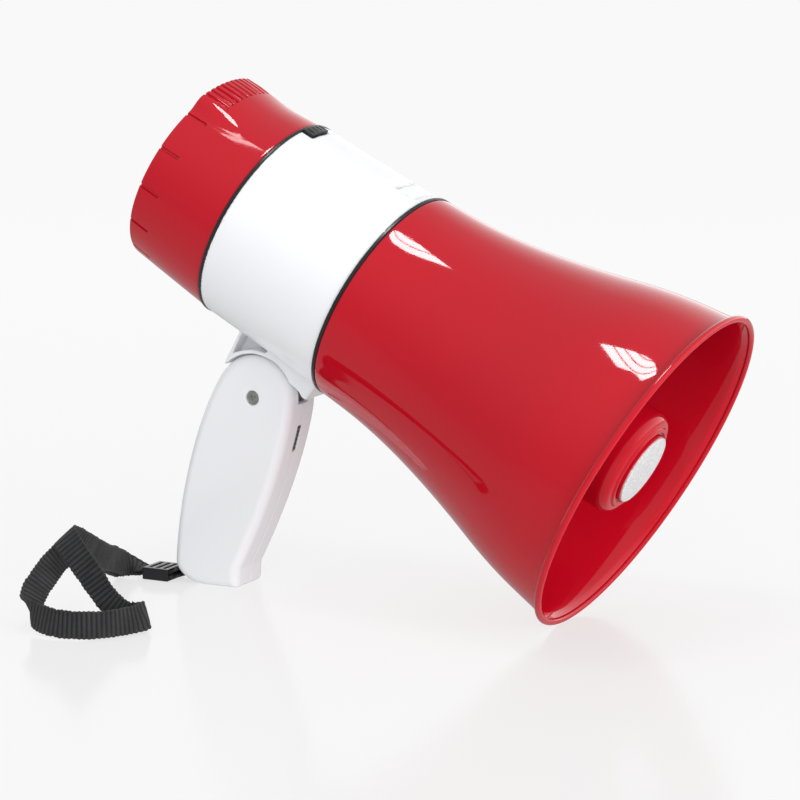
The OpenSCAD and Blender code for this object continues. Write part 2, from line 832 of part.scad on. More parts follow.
// Middle of the strap and its lean from the lower to the upper edge, [x, y, z, lean x, y, z].
// First the run from the slider to the top of the loop, then the loop standing on the floor.
strap_run = [
    [-38, slider_c[1], layer_z[1], 0, 12, 0],
    [-43.5, slider_c[1], layer_z[1], 0, 12, 0], [-49, -9.5, 5.4, -2.5, 10.2, 5.6],
    [-49, -18, 9.2, -2.2, 5, 10.5], [-43.5, -32, 12.8, 0.5, 4.2, 11.2],
    [-35.5, -52.5, 18.6, 2, 4.5, 11]
];
strap_loop = [
    [-30, -76, 28.5, 3.5, 5.5, 10], [-30, -89, 35.3, 6.2, 5.5, 8.6],
    [-28.2, -95.5, 37, 7, 5.5, 8], [-22, -98.8, 32, 7.8, 4, 8.2],
    [-14, -99.2, 23.2, 8, 2.5, 8.6], [-4.5, -98.5, 11.5, 9, 1, 7.6],
    [4.5, -96.5, 5.6, 8, 0, 9], [11, -95.8, 6.4, 1, 0, 12],
    [13.6, -98.5, 7.2, -4.8, 0, 11], [11.5, -106, 6.5, -3.5, -1.5, 11.4],
    [3.6, -118.5, 6.3, 0.5, 1, 12], [-8.4, -124.5, 6.3, 0.5, 1.5, 11.8],
    [-19.5, -124.5, 6.9, -1, 2.5, 11.6], [-29.8, -120.3, 9, -4, 1, 11.3],
    [-33, -113, 14.8, -8, -3.5, 8], [-33.2, -104.5, 20.3, -7.5, -5, 8],
    [-33.2, -93, 26, -5.5, -2, 10], [-34, -79, 28, -2.5, 2, 11.3]
];
// The way back to the slider, beside the run and under it
strap_return = [for (i = [len(strap_run) - 1:-1:0]) strap_run[i]
    + (i < 2 ? [0, 0, layer_z[0] - layer_z[1], 0, 0, 0] : [-3, -1.2, -0.8, 0, 0, 0])];
strap_ends = [for (z = layer_z) [slider_c[0] + 6, slider_c[1], z, 0, 12, 0]];

// Open smooth curve through the rows, n steps to each
function smooth_path(p, n) = [
    for (i = [0:len(p) - 2], k = [0:n - 1])
        let (a = p[max(i - 1, 0)], b = p[i], c = p[i + 1], d = p[min(i + 2, len(p) - 1)], t = k / n)
        0.5 * (2 * b + (c - a) * t + (2 * a - 5 * b + 4 * c - d) * t * t
               + (3 * b - a - 3 * c + d) * t * t * t),
    p[len(p) - 1]
];
function mid(row) = [row[0], row[1], row[2]];
function lean(row) = [row[3], row[4], row[5]];
function unit(v) = v / norm(v);

// Four corners of the strap's section at row i, square to its path and clear of the floor
function strap_section(rows, i) =
    let (way = unit(mid(rows[min(i + 1, len(rows) - 1)]) - mid(rows[max(i - 1, 0)])),
         raw = lean(rows[i]), w = unit(raw - way * (raw * way)) * strap_w / 2,
         n = unit(cross(way, w)) * strap_t / 2,
         low = mid(rows[i])[2] - abs(w[2]) - abs(n[2]), c = mid(rows[i]) + [0, 0, max(0, 0.15 - low)])
    [c - w - n, c + w - n, c + w + n, c - w + n];

module strap_band(rows) {
    last = 4 * (len(rows) - 1);
    polyhedron(
        points = [for (i = [0:len(rows) - 1]) each strap_section(rows, i)],
        faces = concat([[0, 1, 2, 3]], [[last + 3, last + 2, last + 1, last]],
            [for (i = [0:4:last - 4], k = [0:3], half = [0, 1]) let (j = (k + 1) % 4)
                half == 0 ? [i + k, i + k + 4, i + j] : [i + j, i + k + 4, i + j + 4]])
    );
}

module wrist_strap() {
    pin = [pivot_x + pin_x, pivot_z + pin_z];
    pin_gap = 1.95;
    side_edge = slider_c[1] + strap_w / 2;
    color(black) {
        strap_band(smooth_path(concat([strap_ends[1]], strap_run, strap_loop, strap_return,
                                      [strap_ends[0]]), 3));
        // doubled strap from the pin to the handle's rear
        translate([0, -strap_w / 2, 0]) rotate([90, 0, 0]) translate([0, 0, -strap_w])
            linear_extrude(strap_w) difference() {
                union() {
                    translate(pin) circle(pin_gap + strap_t, $fn = 32);
                    polygon([pin + [-2.2, -2.4], pin + [-3.2, 0], [-25, layers_high], [-25, layers_low]]);
                }
                translate(pin) circle(pin_gap, $fn = 32);
            }
        // and from there, stepping sideways, into the slider
        translate([0, 0, layers_low]) linear_extrude(layers_high - layers_low) polygon([
            [-24.4, -strap_w / 2], [-24.4, strap_w / 2], [-26.2, side_edge],
            [strap_ends[0][0] - 1, side_edge], [strap_ends[0][0] - 1, side_edge - strap_w],
            [-26.2, side_edge - strap_w]]);
    }
}

module strap_slider() {
    play = 0.3;
    color(black) translate([slider_c[0] - slider_size[0] / 2, slider_c[1] - slider_size[1] / 2, 0.1])
        difference() {
            cube(slider_size);
            translate([-1, 1.3, layers_low - play - 0.1])
                cube([slider_size[0] + 2, slider_size[1] - 2.6, layers_high - layers_low + play + 0.2]);
            for (i = [0:2]) translate([2.3 + i * 3.7, 2.2, 3])
                cube([1.5, slider_size[1] - 4.4, slider_size[2]]);
        }
}

bell();
front_ring();
body_shell();
rear_ring();
throat_tube();
reflector();
reflector_screw();
badge_disc();
bell_screws();
driver_housing();
driver_screws();
diaphragm();
voice_coil();
top_plate();
magnet();
yoke();
driver_leads();
battery_holder();
c_cells();
cell_contacts();
cell_springs();
battery_lid();
lid_screw();
latch_button();
latch_spring();
rear_cap();
control_panel();
mic_grille();
mic_seal();
microphone();
control_board();
board_screws();
potentiometer();
slide_switch();
tact_switches();
volume_knob();
mode_slider();
record_button();
play_button();
handle_left();
handle_right();
pivot_bolt();
pivot_nut();
pivot_bush();
handle_screws();
talk_button();
talk_spring();
talk_switch();
strap_pin();
wrist_strap();
strap_slider();
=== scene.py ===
import json
import math

import bmesh
import bpy
import numpy as np
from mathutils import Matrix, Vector


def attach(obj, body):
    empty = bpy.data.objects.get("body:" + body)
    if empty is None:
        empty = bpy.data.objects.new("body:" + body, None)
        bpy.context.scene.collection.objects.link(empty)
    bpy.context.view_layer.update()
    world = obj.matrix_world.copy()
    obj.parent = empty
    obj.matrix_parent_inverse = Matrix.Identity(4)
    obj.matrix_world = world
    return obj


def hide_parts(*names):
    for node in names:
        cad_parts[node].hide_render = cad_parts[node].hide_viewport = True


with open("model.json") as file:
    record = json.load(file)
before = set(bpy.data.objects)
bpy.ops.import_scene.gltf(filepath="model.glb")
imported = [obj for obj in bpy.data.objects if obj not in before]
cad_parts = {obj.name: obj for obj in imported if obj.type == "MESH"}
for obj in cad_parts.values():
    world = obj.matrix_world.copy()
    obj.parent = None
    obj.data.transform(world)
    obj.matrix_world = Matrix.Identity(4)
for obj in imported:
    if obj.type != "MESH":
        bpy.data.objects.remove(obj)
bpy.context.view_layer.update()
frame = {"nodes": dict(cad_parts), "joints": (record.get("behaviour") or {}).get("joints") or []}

MM = 0.001
JOINTS = {j["name"]: j for j in frame["joints"]}


# ------------------------------------------------------------------ frames and measures

class Space:
    """A frame in millimetres: an origin and an X axis in the row frame, with Y kept as the row's Y."""

    def __init__(self, origin_m, x_axis=(1, 0, 0)):
        x = np.array(x_axis, float)
        x /= np.linalg.norm(x)
        y = np.array((0.0, 1.0, 0.0))
        self.origin = np.array(origin_m, float) / MM
        self.axes = np.array((x, y, np.cross(x, y)))

    def out(self, points):
        """Points in this frame, in mm, as row coordinates in metres."""
        return (self.origin + np.asarray(points, float) @ self.axes) * MM

    def into(self, points_m):
        """Row coordinates in metres as points in this frame, in mm."""
        return (np.asarray(points_m, float) / MM - self.origin) @ self.axes.T


ROW = Space((0, 0, 0))
HORN = Space(JOINTS["cap_twist"]["pos_m"], JOINTS["cap_twist"]["axis"])
HANDLE = Space(JOINTS["handle_fold"]["pos_m"])


def span(node, space):
    """Lowest and highest corner of a CAD node in a frame, in mm."""
    co = np.array([v.co for v in frame["nodes"][node].data.vertices], float)
    local = space.into(co)
    return local.min(0), local.max(0)


def stations(node):
    """Rear end, front end and outer radius of a round part of the horn, in mm."""
    co = HORN.into([v.co for v in frame["nodes"][node].data.vertices])
    return co[:, 0].min(), co[:, 0].max(), np.hypot(co[:, 1], co[:, 2]).max()


# ------------------------------------------------------------------ materials

class Graph:
    """Short calls for building one material's node tree."""

    def __init__(self, name):
        self.material = bpy.data.materials.new(name)
        self.material.use_nodes = True
        self.tree = self.material.node_tree
        self.tree.nodes.clear()
        self.output = self.tree.nodes.new("ShaderNodeOutputMaterial")
        self.place = self.tree.nodes.new("ShaderNodeTexCoord").outputs["Object"]

    def node(self, kind, inputs=None, **settings):
        made = self.tree.nodes.new(kind)
        for key, value in settings.items():
            setattr(made, key, value)
        for key, value in (inputs or {}).items():
            if isinstance(value, bpy.types.NodeSocket):
                self.tree.links.new(value, made.inputs[key])
            else:
                made.inputs[key].default_value = value
        return made

    def noise(self, scale, detail=3.0, stretch=(1, 1, 1), rough=0.5):
        mapped = self.node("ShaderNodeMapping", {"Vector": self.place, "Scale": stretch})
        made = self.node("ShaderNodeTexNoise", {
            "Vector": mapped.outputs[0], "Scale": scale, "Detail": detail, "Roughness": rough})
        return made.outputs["Fac"]

    def remap(self, value, low, high, to_low, to_high):
        made = self.node("ShaderNodeMapRange", {
            "Value": value, "From Min": low, "From Max": high, "To Min": to_low, "To Max": to_high})
        return made.outputs[0]

    def mix(self, factor, a, b):
        made = self.node("ShaderNodeMix", data_type="RGBA")
        for socket, value in ((made.inputs[0], factor), (made.inputs[6], a), (made.inputs[7], b)):
            if isinstance(value, bpy.types.NodeSocket):
                self.tree.links.new(value, socket)
            else:
                socket.default_value = value
        return made.outputs[2]

    def math(self, how, a, b=0.0):
        made = self.node("ShaderNodeMath", operation=how)
        for socket, value in zip(made.inputs, (a, b)):
            if isinstance(value, bpy.types.NodeSocket):
                self.tree.links.new(value, socket)
            else:
                socket.default_value = value
        return made.outputs[0]

    def bump(self, height, strength, distance, normal=None):
        inputs = {"Height": height, "Strength": strength, "Distance": distance}
        if normal is not None:
            inputs["Normal"] = normal
        return self.node("ShaderNodeBump", inputs).outputs[0]

    def principled(self, **inputs):
        shader = self.node("ShaderNodeBsdfPrincipled", {
            key.replace("_", " "): value for key, value in inputs.items()})
        self.tree.links.new(shader.outputs[0], self.output.inputs["Surface"])
        return self.material


def shade(colour, factor):
    return tuple(min(1.0, c * factor) for c in colour[:3]) + (1.0,)


def moulded(name, colour, rough, texture=0.02, grain=1400.0, coat=0.0, glow=0.0, spread=0.04):
    """Moulded plastic: a slow drift of tone, fine handling marks in the gloss, a faint flow relief."""
    g = Graph(name)
    drift = g.noise(18.0, 2.0)
    tone = g.mix(drift, shade(colour, 1 - spread), shade(colour, 1 + spread))
    marks = g.noise(90.0, 6.0, (1, 7, 1.6), 0.7)
    gloss = g.remap(marks, 0.35, 0.75, rough * 0.8, rough * 1.35)
    flow = g.bump(g.noise(55.0, 1.0), 0.03, 0.0006)
    fine = g.bump(g.noise(grain, 2.0), texture, 0.00008, flow)
    extra = {}
    if glow:
        extra = {"Subsurface_Weight": glow, "Subsurface_Radius": (0.004, 0.0025, 0.002),
                 "Subsurface_Scale": 0.4}
    return g.principled(Base_Color=tone, Roughness=gloss, Normal=fine, Coat_Weight=coat,
                        Coat_Roughness=0.06, IOR=1.5, **extra)


def metal(name, colour, rough, stretch=(1, 1, 1), grain=900.0, wear=0.12):
    """Bare or plated metal with drawn grain, patches of dulling and a darker film in places."""
    g = Graph(name)
    patch = g.noise(240.0, 4.0)
    tone = g.mix(g.remap(patch, 0.3, 0.7, 0.0, 1.0), shade(colour, 1 - wear), shade(colour, 1 + wear))
    lines = g.noise(grain, 2.0, stretch)
    gloss = g.remap(lines, 0.3, 0.7, rough * 0.75, rough * 1.3)
    return g.principled(Base_Color=tone, Metallic=1.0, Roughness=gloss,
                        Normal=g.bump(lines, 0.12, 0.00005))


def pressed(name, colour, rough, grain, depth, spread=0.15):
    """Matt material with a visible grain, such as ferrite, foam or a board."""
    g = Graph(name)
    specks = g.noise(grain, 5.0, rough=0.65)
    tone = g.mix(g.remap(specks, 0.3, 0.7, 0.0, 1.0), shade(colour, 1 - spread), shade(colour, 1 + spread))
    return g.principled(Base_Color=tone, Roughness=rough, Normal=g.bump(specks, 0.5, depth))


def foil_disc(name, colour):
    """Silver film full of fine flakes that each catch the light at their own angle."""
    g = Graph(name)
    flakes = g.node("ShaderNodeTexVoronoi", {"Vector": g.place, "Scale": 1500.0})
    sparkle = g.math("POWER", g.node("ShaderNodeSeparateColor", {
        0: flakes.outputs["Color"]}).outputs[0], 3.0)
    tone = g.mix(sparkle, shade(colour, 0.8), shade(colour, 1.15))
    tilt = g.bump(flakes.outputs["Distance"], 0.35, 0.0004)
    return g.principled(Base_Color=tone, Metallic=0.25, Roughness=0.3, Normal=tilt, Coat_Weight=0.25)


def webbing_cloth(name, colour):
    """Woven nylon: threads along and across in the strap's own coordinates, fuzz, a low sheen, and painted
    shade in the troughs of the ribs.
    """
    g = Graph(name)
    lie = g.node("ShaderNodeAttribute", attribute_name="lie", attribute_type="GEOMETRY").outputs["Vector"]
    parts = g.node("ShaderNodeSeparateXYZ", {0: lie})
    along = g.math("SINE", g.math("MULTIPLY", parts.outputs[0], 2 * math.pi / 0.42))
    across = g.math("SINE", g.math("MULTIPLY", parts.outputs[1], 2 * math.pi / 0.5))
    weave = g.math("MULTIPLY", along, across)
    fuzz = g.noise(2600.0, 4.0)
    worn = g.noise(120.0, 4.0)
    tone = g.mix(g.remap(worn, 0.3, 0.75, 0.0, 1.0), shade(colour, 0.75), shade(colour, 1.55))
    tone = g.mix(g.remap(weave, -1.0, 1.0, 0.0, 0.3), tone, shade(colour, 1.9))
    # Painted shade: where lie z, the rib phase, runs into a trough, the colour is darkened to about a fifth
    # of itself. This is shade laid into the rib valleys.
    tone = g.mix(g.remap(parts.outputs[2], -1.0, 0.3, 0.85, 0.0), tone, shade(colour, 0.22))
    relief = g.bump(weave, 0.55, 0.00012, g.bump(fuzz, 0.35, 0.00012))
    return g.principled(Base_Color=tone, Roughness=0.62, Normal=relief, Sheen_Weight=0.06,
                        Sheen_Roughness=0.5, Specular_IOR_Level=0.35)


def wrapped_cell(name):
    """Dry cell in a printed jacket: a plain two-tone band around each cell, with no marks."""
    g = Graph(name)
    parts = g.node("ShaderNodeSeparateXYZ", {0: g.place})
    band = g.math("GREATER_THAN", g.math("SINE", g.math("MULTIPLY", parts.outputs[0], 170.0)), 0.55)
    tone = g.mix(band, (0.62, 0.36, 0.06, 1), (0.03, 0.03, 0.035, 1))
    return g.principled(Base_Color=tone, Metallic=0.35, Roughness=0.35,
                        Normal=g.bump(g.noise(300.0, 3.0), 0.1, 0.0001))


RED = moulded("red_abs", (0.46, 0.0025, 0.0125), 0.05, texture=0.008, grain=900.0, spread=0.02)
WHITE = moulded("white_abs", (0.80, 0.81, 0.835), 0.14, texture=0.012, grain=1100.0, glow=0.04, spread=0.006)
BLACK = moulded("black_abs", (0.012, 0.0125, 0.014), 0.28)
SATIN = moulded("dark_satin", (0.03, 0.031, 0.034), 0.46, texture=0.25, grain=2600.0)
GREY = moulded("pale_grey", (0.62, 0.63, 0.65), 0.32, texture=0.08)
PRESS_RED = moulded("button_red", (0.55, 0.03, 0.03), 0.3)
STEEL = metal("steel", (0.55, 0.56, 0.57), 0.32, (1, 6, 1))
ZINC = metal("zinc_steel", (0.46, 0.50, 0.45), 0.34, (3, 1, 1), wear=0.2)
BRASS = metal("brass", (0.72, 0.52, 0.22), 0.3)
COPPER = metal("copper", (0.72, 0.34, 0.2), 0.34, (9, 1, 1), 1600.0)
FERRITE = pressed("ferrite", (0.035, 0.034, 0.036), 0.7, 1500.0, 0.0002)
FOAM = pressed("foam", (0.05, 0.05, 0.052), 0.95, 1900.0, 0.0004)
BOARD = pressed("board", (0.02, 0.12, 0.045), 0.42, 700.0, 0.00005, 0.3)
FILM = pressed("film", (0.55, 0.45, 0.26), 0.4, 500.0, 0.0001)
WIRE = moulded("wire_red", (0.4, 0.02, 0.02), 0.45, texture=0.2)
CAPSULE = metal("capsule", (0.6, 0.6, 0.62), 0.28)
CELLS = wrapped_cell("cell_jacket")
FOIL = foil_disc("silver_film", (0.86, 0.87, 0.88))
WEBBING = webbing_cloth("webbing", (0.026, 0.0265, 0.028))


# ------------------------------------------------------------------ mesh building

def add_piece(name, space, points, faces, body, material, nodes, sharp=40.0):
    """A mesh piece from points in mm, riding on a body and standing for CAD nodes."""
    mesh = bpy.data.meshes.new(name)
    mesh.from_pydata(space.out(points).tolist(), [], [tuple(map(int, f)) for f in faces])
    mesh.validate()
    shape = bmesh.new()
    shape.from_mesh(mesh)
    bmesh.ops.remove_doubles(shape, verts=shape.verts, dist=1e-7)
    bmesh.ops.recalc_face_normals(shape, faces=shape.faces)
    shape.to_mesh(mesh)
    shape.free()
    mesh.polygons.foreach_set("use_smooth", [True] * len(mesh.polygons))
    mesh.set_sharp_from_angle(angle=math.radians(sharp))
    mesh.materials.append(material)
    made = bpy.data.objects.new(name, mesh)
    bpy.context.scene.collection.objects.link(made)
    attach(made, body)
    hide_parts(*nodes)
    return made


def bezier(points, steps):
    p = np.array(points, float)
    t = np.linspace(0, 1, steps + 1)[:, None]
    return ((1 - t) ** 3 * p[0] + 3 * (1 - t) ** 2 * t * p[1]
            + 3 * (1 - t) * t * t * p[2] + t ** 3 * p[3])


def arc(centre, radius, start, end, steps):
    a = np.radians(np.linspace(start, end, steps + 1))
    return np.array(centre) + radius * np.stack((np.cos(a), np.sin(a)), 1)


def lathe(profile, turns=256):
    """Points and quads of a closed profile of (x, radius) turned about the X axis."""
    rows = np.array(profile, float)
    a = np.linspace(0, 2 * math.pi, turns, endpoint=False)
    x = np.repeat(rows[:, :1], turns, 1)
    points = np.stack((x, rows[:, 1:] * np.sin(a), rows[:, 1:] * np.cos(a)), 2).reshape(-1, 3)
    return points, grid_faces(len(rows), turns)


def grid_faces(rows, columns, close_rows=True):
    """Quads over a rows by columns grid that wraps in columns, and in rows too if asked."""
    last = rows if close_rows else rows - 1
    i, j = np.meshgrid(np.arange(last), np.arange(columns), indexing="ij")
    down, side = (i + 1) % rows, (j + 1) % columns
    return np.stack((i * columns + j, i * columns + side, down * columns + side,
                     down * columns + j), 2).reshape(-1, 4)


def rounded_ring(x0, x1, outer, inner, edge, steps=5):
    """Profile of a ring with rounded corners, as (x, radius)."""
    corners = ((x1 - edge, outer - edge, 90, 0), (x1 - edge, inner + edge, 0, -90),
               (x0 + edge, inner + edge, -90, -180), (x0 + edge, outer - edge, 180, 90))
    return np.concatenate([arc((x, r), edge, a, b, steps) for x, r, a, b in corners])


# Signed distances, in mm, negative inside

def far(*parts):
    return np.sqrt(sum(p * p for p in parts))


def join(a, b, blend=0.0):
    if not blend:
        return np.minimum(a, b)
    h = np.maximum(blend - np.abs(a - b), 0) / blend
    return np.minimum(a, b) - h * h * blend / 4


def cut(a, b, blend=0.0):
    return -join(-a, b, blend)


def rounded(edge, *sides):
    """What lies inside all the sides, with the edges between them rounded."""
    q = np.broadcast_arrays(*[s + edge for s in sides])
    inner = np.minimum(np.maximum.reduce(q), 0)
    return inner + far(*[np.maximum(s, 0) for s in q]) - edge


def brick(x, y, z, low, high, edge):
    sides = [np.abs(v - (a + b) / 2) - (b - a) / 2 for v, a, b in zip((x, y, z), low, high)]
    return rounded(edge, *sides)


def outline(points, u, v):
    """Distance to a closed outline in the u, v plane."""
    p = np.array(points, float)
    nearest = np.full(np.broadcast(u, v).shape, 1e9)
    inside = np.zeros(nearest.shape, bool)
    for a, b in zip(p, np.roll(p, -1, 0)):
        e = b - a
        s = np.clip(((u - a[0]) * e[0] + (v - a[1]) * e[1]) / max(e @ e, 1e-12), 0, 1)
        nearest = np.minimum(nearest, (u - a[0] - s * e[0]) ** 2 + (v - a[1] - s * e[1]) ** 2)
        if a[1] != b[1]:
            inside ^= ((a[1] > v) != (b[1] > v)) & (u < (v - a[1]) * e[0] / e[1] + a[0])
    return np.where(inside, -1.0, 1.0) * np.sqrt(nearest)


EDGES = [(axis, first, second) for axis in range(3) for first in (0, 1) for second in (0, 1)]


def skin(field, low, high, step):
    """Points and quads of the surface where field(x, y, z) is zero, within a box, in mm."""
    axes = [np.arange(a, b + step, step) for a, b in zip(low, high)]
    value = field(*np.meshgrid(*axes, indexing="ij", sparse=True))
    inside = value < 0
    shape = np.array(value.shape) - 1
    count = np.zeros(tuple(shape), np.int8)
    for i, j, k in np.ndindex(2, 2, 2):
        count += inside[i:i + shape[0], j:j + shape[1], k:k + shape[2]]
    active = (count > 0) & (count < 8)
    cells = np.argwhere(active)
    number = np.full(tuple(shape), -1)
    number[active] = np.arange(len(cells))
    total, crossings = np.zeros((len(cells), 3)), np.zeros((len(cells), 1))
    for axis, first, second in EDGES:
        start = np.zeros(3, int)
        start[(axis + 1) % 3], start[(axis + 2) % 3] = first, second
        way = np.eye(3, dtype=int)[axis]
        v0, v1 = (value[tuple((cells + s).T)] for s in (start, start + way))
        crossed = ((v0 < 0) != (v1 < 0))[:, None]
        t = np.where(crossed[:, 0], v0 / np.where(v0 == v1, 1, v0 - v1), 0)[:, None]
        total += np.where(crossed, start + t * way, 0)
        crossings += crossed
    points = np.array([a[0] for a in axes]) + step * (cells + total / crossings)
    faces = []
    for axis in range(3):
        b, c = np.eye(3, dtype=int)[(axis + 1) % 3], np.eye(3, dtype=int)[(axis + 2) % 3]
        near = inside[tuple(slice(0, n) if k == axis else slice(None) for k, n in enumerate(shape))]
        next_ = inside[tuple(slice(1, n + 1) if k == axis else slice(None) for k, n in enumerate(shape))]
        edge = np.argwhere(near != next_)
        keep = np.all([(edge[:, k] > 0) & (edge[:, k] < shape[k]) for k in range(3) if k != axis], axis=0)
        edge = edge[keep]
        faces.append(np.stack([number[tuple((edge - s).T)] for s in (0 * b, b, b + c, c)], 1))
    return settle(field, points, step), np.concatenate(faces)


def settle(field, points, step, rounds=4, reach=0.7, probe=0.02):
    """Moves points onto the surface, each by no more than reach times the step."""
    home, p = points, points.copy()
    for _ in range(rounds):
        here = field(*p.T)
        slope = np.stack([(field(*(p + d).T) - field(*(p - d).T)) / (2 * probe)
                          for d in probe * np.eye(3)], 1)
        p = p - slope * (here / np.maximum((slope * slope).sum(1), 0.25))[:, None]
        shift = p - home
        size = np.linalg.norm(shift, axis=1)[:, None]
        p = home + shift * np.minimum(1, reach * step / np.maximum(size, 1e-9))
    return p


def solid(name, space, field, low, high, step, body, material, slot, nodes, mirror=False, sharp=60.0):
    points, faces = skin(field, low, high, step)
    if mirror:
        points = points * (1, -1, 1)
    return add_piece(name, space, points, faces, body, material, nodes, sharp)


# ------------------------------------------------------------------ bell, rings and reflector

ring_gap = 0.05
mouth_x, mouth_r = stations("bell")[1:]
bell_x0 = stations("front_ring")[1] + ring_gap
bead = 1.5
bell_wall = 2.2
neck_r = 49.8
spigot_end = 106.5
bulkhead_x = 106.0
throat_r = 13.0
# Control points of the bell's two curves, as (x, radius); the third point is where they meet.
flare = np.array([(122.8, 50.83), (144.7, 48.9), (202.3, 65.9), (228.5, 73.65), (240.8, 73.05)])
# The smallest radius of a turned face that ends on the axis.
axis_r = 0.02


def bell_profile():
    """Outside from neck to mouth, round the bead, back along the inside and round the spigot."""
    lip = mouth_r - bead
    rim = arc((mouth_x - bead, lip), bead, 200, -110, 22)
    outer = np.concatenate((bezier([(bell_x0 + 0.3, neck_r), *flare[:3]], 50),
                            bezier([*flare[2:], rim[0]], 40)[1:]))
    within = flare - (0, bell_wall)
    inner = np.concatenate((bezier([(mouth_x - 3.9, lip - 2.9), *within[:1:-1]], 36),
                            bezier([*within[2::-1], (bell_x0 + 3, neck_r - bell_wall)], 44)[1:]))
    spigot_r = 46.9
    floor = [(bell_x0 + 3.4, 40), (bell_x0 + 3, 30), (bell_x0 + 3, throat_r), (bulkhead_x, throat_r),
             (bulkhead_x, 44.6), (spigot_end, 44.8), (spigot_end, spigot_r), (bell_x0, spigot_r)]
    return np.concatenate((outer, rim, inner, floor, [(bell_x0, neck_r - 0.3)]))


def reflector_profile():
    """The nose in the mouth: a disc's seat, a groove, a raised lip, a rounded shoulder and the side."""
    seat = stations("badge_disc")[0] - 0.05
    front, moat = seat - 1.0, seat - 2.0
    round_r, nose_r, lip_r, lip_in, seat_r, cup_wall = 6.0, 24.5, 19.6, 17.5, 16.4, 2.0
    nose_x = front - round_r
    seat_edge = arc((seat - 0.25, seat_r - 0.25), 0.25, 90, 0, 3)[::-1]
    groove = [(moat, seat_r + 0.1), (moat, lip_in - 0.1)]
    lip = np.concatenate(([(seat, axis_r)], seat_edge, groove,
                          arc((front - 0.5, lip_in + 0.5), 0.5, -90, 0, 4),
                          arc((front - 0.7, lip_r - 0.7), 0.7, 0, 80, 5)))
    side = bezier([(nose_x, nose_r), (215, nose_r + 1.2), (190, 28), (165, 33)], 40)
    inner = side[::-1] - (0, cup_wall)
    back = [(moat - 2, nose_r - 7), (moat - 2, axis_r)]
    shoulder = (front - 1.8, nose_r - 1.9)
    bend = bezier([lip[-1], lip[-1] + (-0.9, 0.25), (front - 0.5, nose_r - 3.2), shoulder], 8)
    round_off = bezier([shoulder, (front - 3.2, nose_r - 0.5), (nose_x + 1, nose_r), side[0]], 8)
    return np.concatenate((lip, bend[1:], round_off[1:], side[1:], inner, back))


def badge_profile():
    x0, x1, r = stations("badge_disc")
    return np.array([(x0, axis_r), (x0, r), (x1 - 0.25, r), (x1, r - 0.3), (x1, r - 1.2),
                     (x1 + 0.12, r - 6), (x1 + 0.18, axis_r)])


def build_horn():
    points, faces = lathe(bell_profile())
    add_piece("bell_skin", HORN, points, faces, "horn", RED, ["bell"], 50)
    points, faces = lathe(reflector_profile(), 192)
    add_piece("reflector_skin", HORN, points, faces, "horn", RED, ["reflector"], 50)
    points, faces = lathe(badge_profile(), 128)
    add_piece("badge_face", HORN, points, faces, "horn", FOIL, ["badge_disc"], 50)
    for node in ("front_ring", "rear_ring"):
        x0, x1, r = stations(node)
        points, faces = lathe(rounded_ring(x0, x1, r, r - 2.6, 0.45))
        add_piece(node + "_band", HORN, points, faces, "horn", BLACK, [node], 50)


# ------------------------------------------------------------------ body shell

body_x0, body_x1 = stations("rear_ring")[1] + ring_gap, stations("front_ring")[0] - ring_gap
pivot = HORN.into(np.array(JOINTS["handle_fold"]["pos_m"]))
bolt_low, bolt_high = span("pivot_bolt", HANDLE)
half_w = span("handle_left", HANDLE)[1][1]
head_r = span("handle_left", HANDLE)[1][2]
head_gap = 0.7
neck_reach = 24.3
horn_tilt = math.degrees(math.asin(-HORN.axes[0][2]))
tongue_half, tongue_r = 4.5, 11.0
pivot_bore = 4.05
bore_r = 45.4
spigot_bore = 47.2
spigot_from = 97.0
latch_low, latch_high = span("latch_button", HORN)
latch_mid, latch_half = -5.0, 8.0
latch_arc = 0.84  # mm round the horn for each degree, at the latch
BRACKET = [(59.4, -40), (59.4, -66.5), (60.4, -68), (62.5, -68), (75, -60), (96, -60), (99, -56.4),
           (101.8, -56.4), (103, -50), (103.4, -40)]
POCKET = [(60.8, -40), (60.8, -62), (73.5, -50.5), (76, -47.3), (76, -40)]
SCOOPS = [[(89, 52), (89, 48), (94, 43.6), (95.5, 43.6), (95.5, 52)],
          [(105, 52), (105, 48.4), (103.5, 47.4), (99.5, 47.4), (99.5, 52)],
          [(94, 43.6), (94, 45.8), (98, 45.8), (98, 43.6)]]
scoop_half = 9.5


def body_radius(x):
    return np.interp(x, (body_x0, 60, 85, body_x1), (47.9, 48.05, 48.55, 49.3))


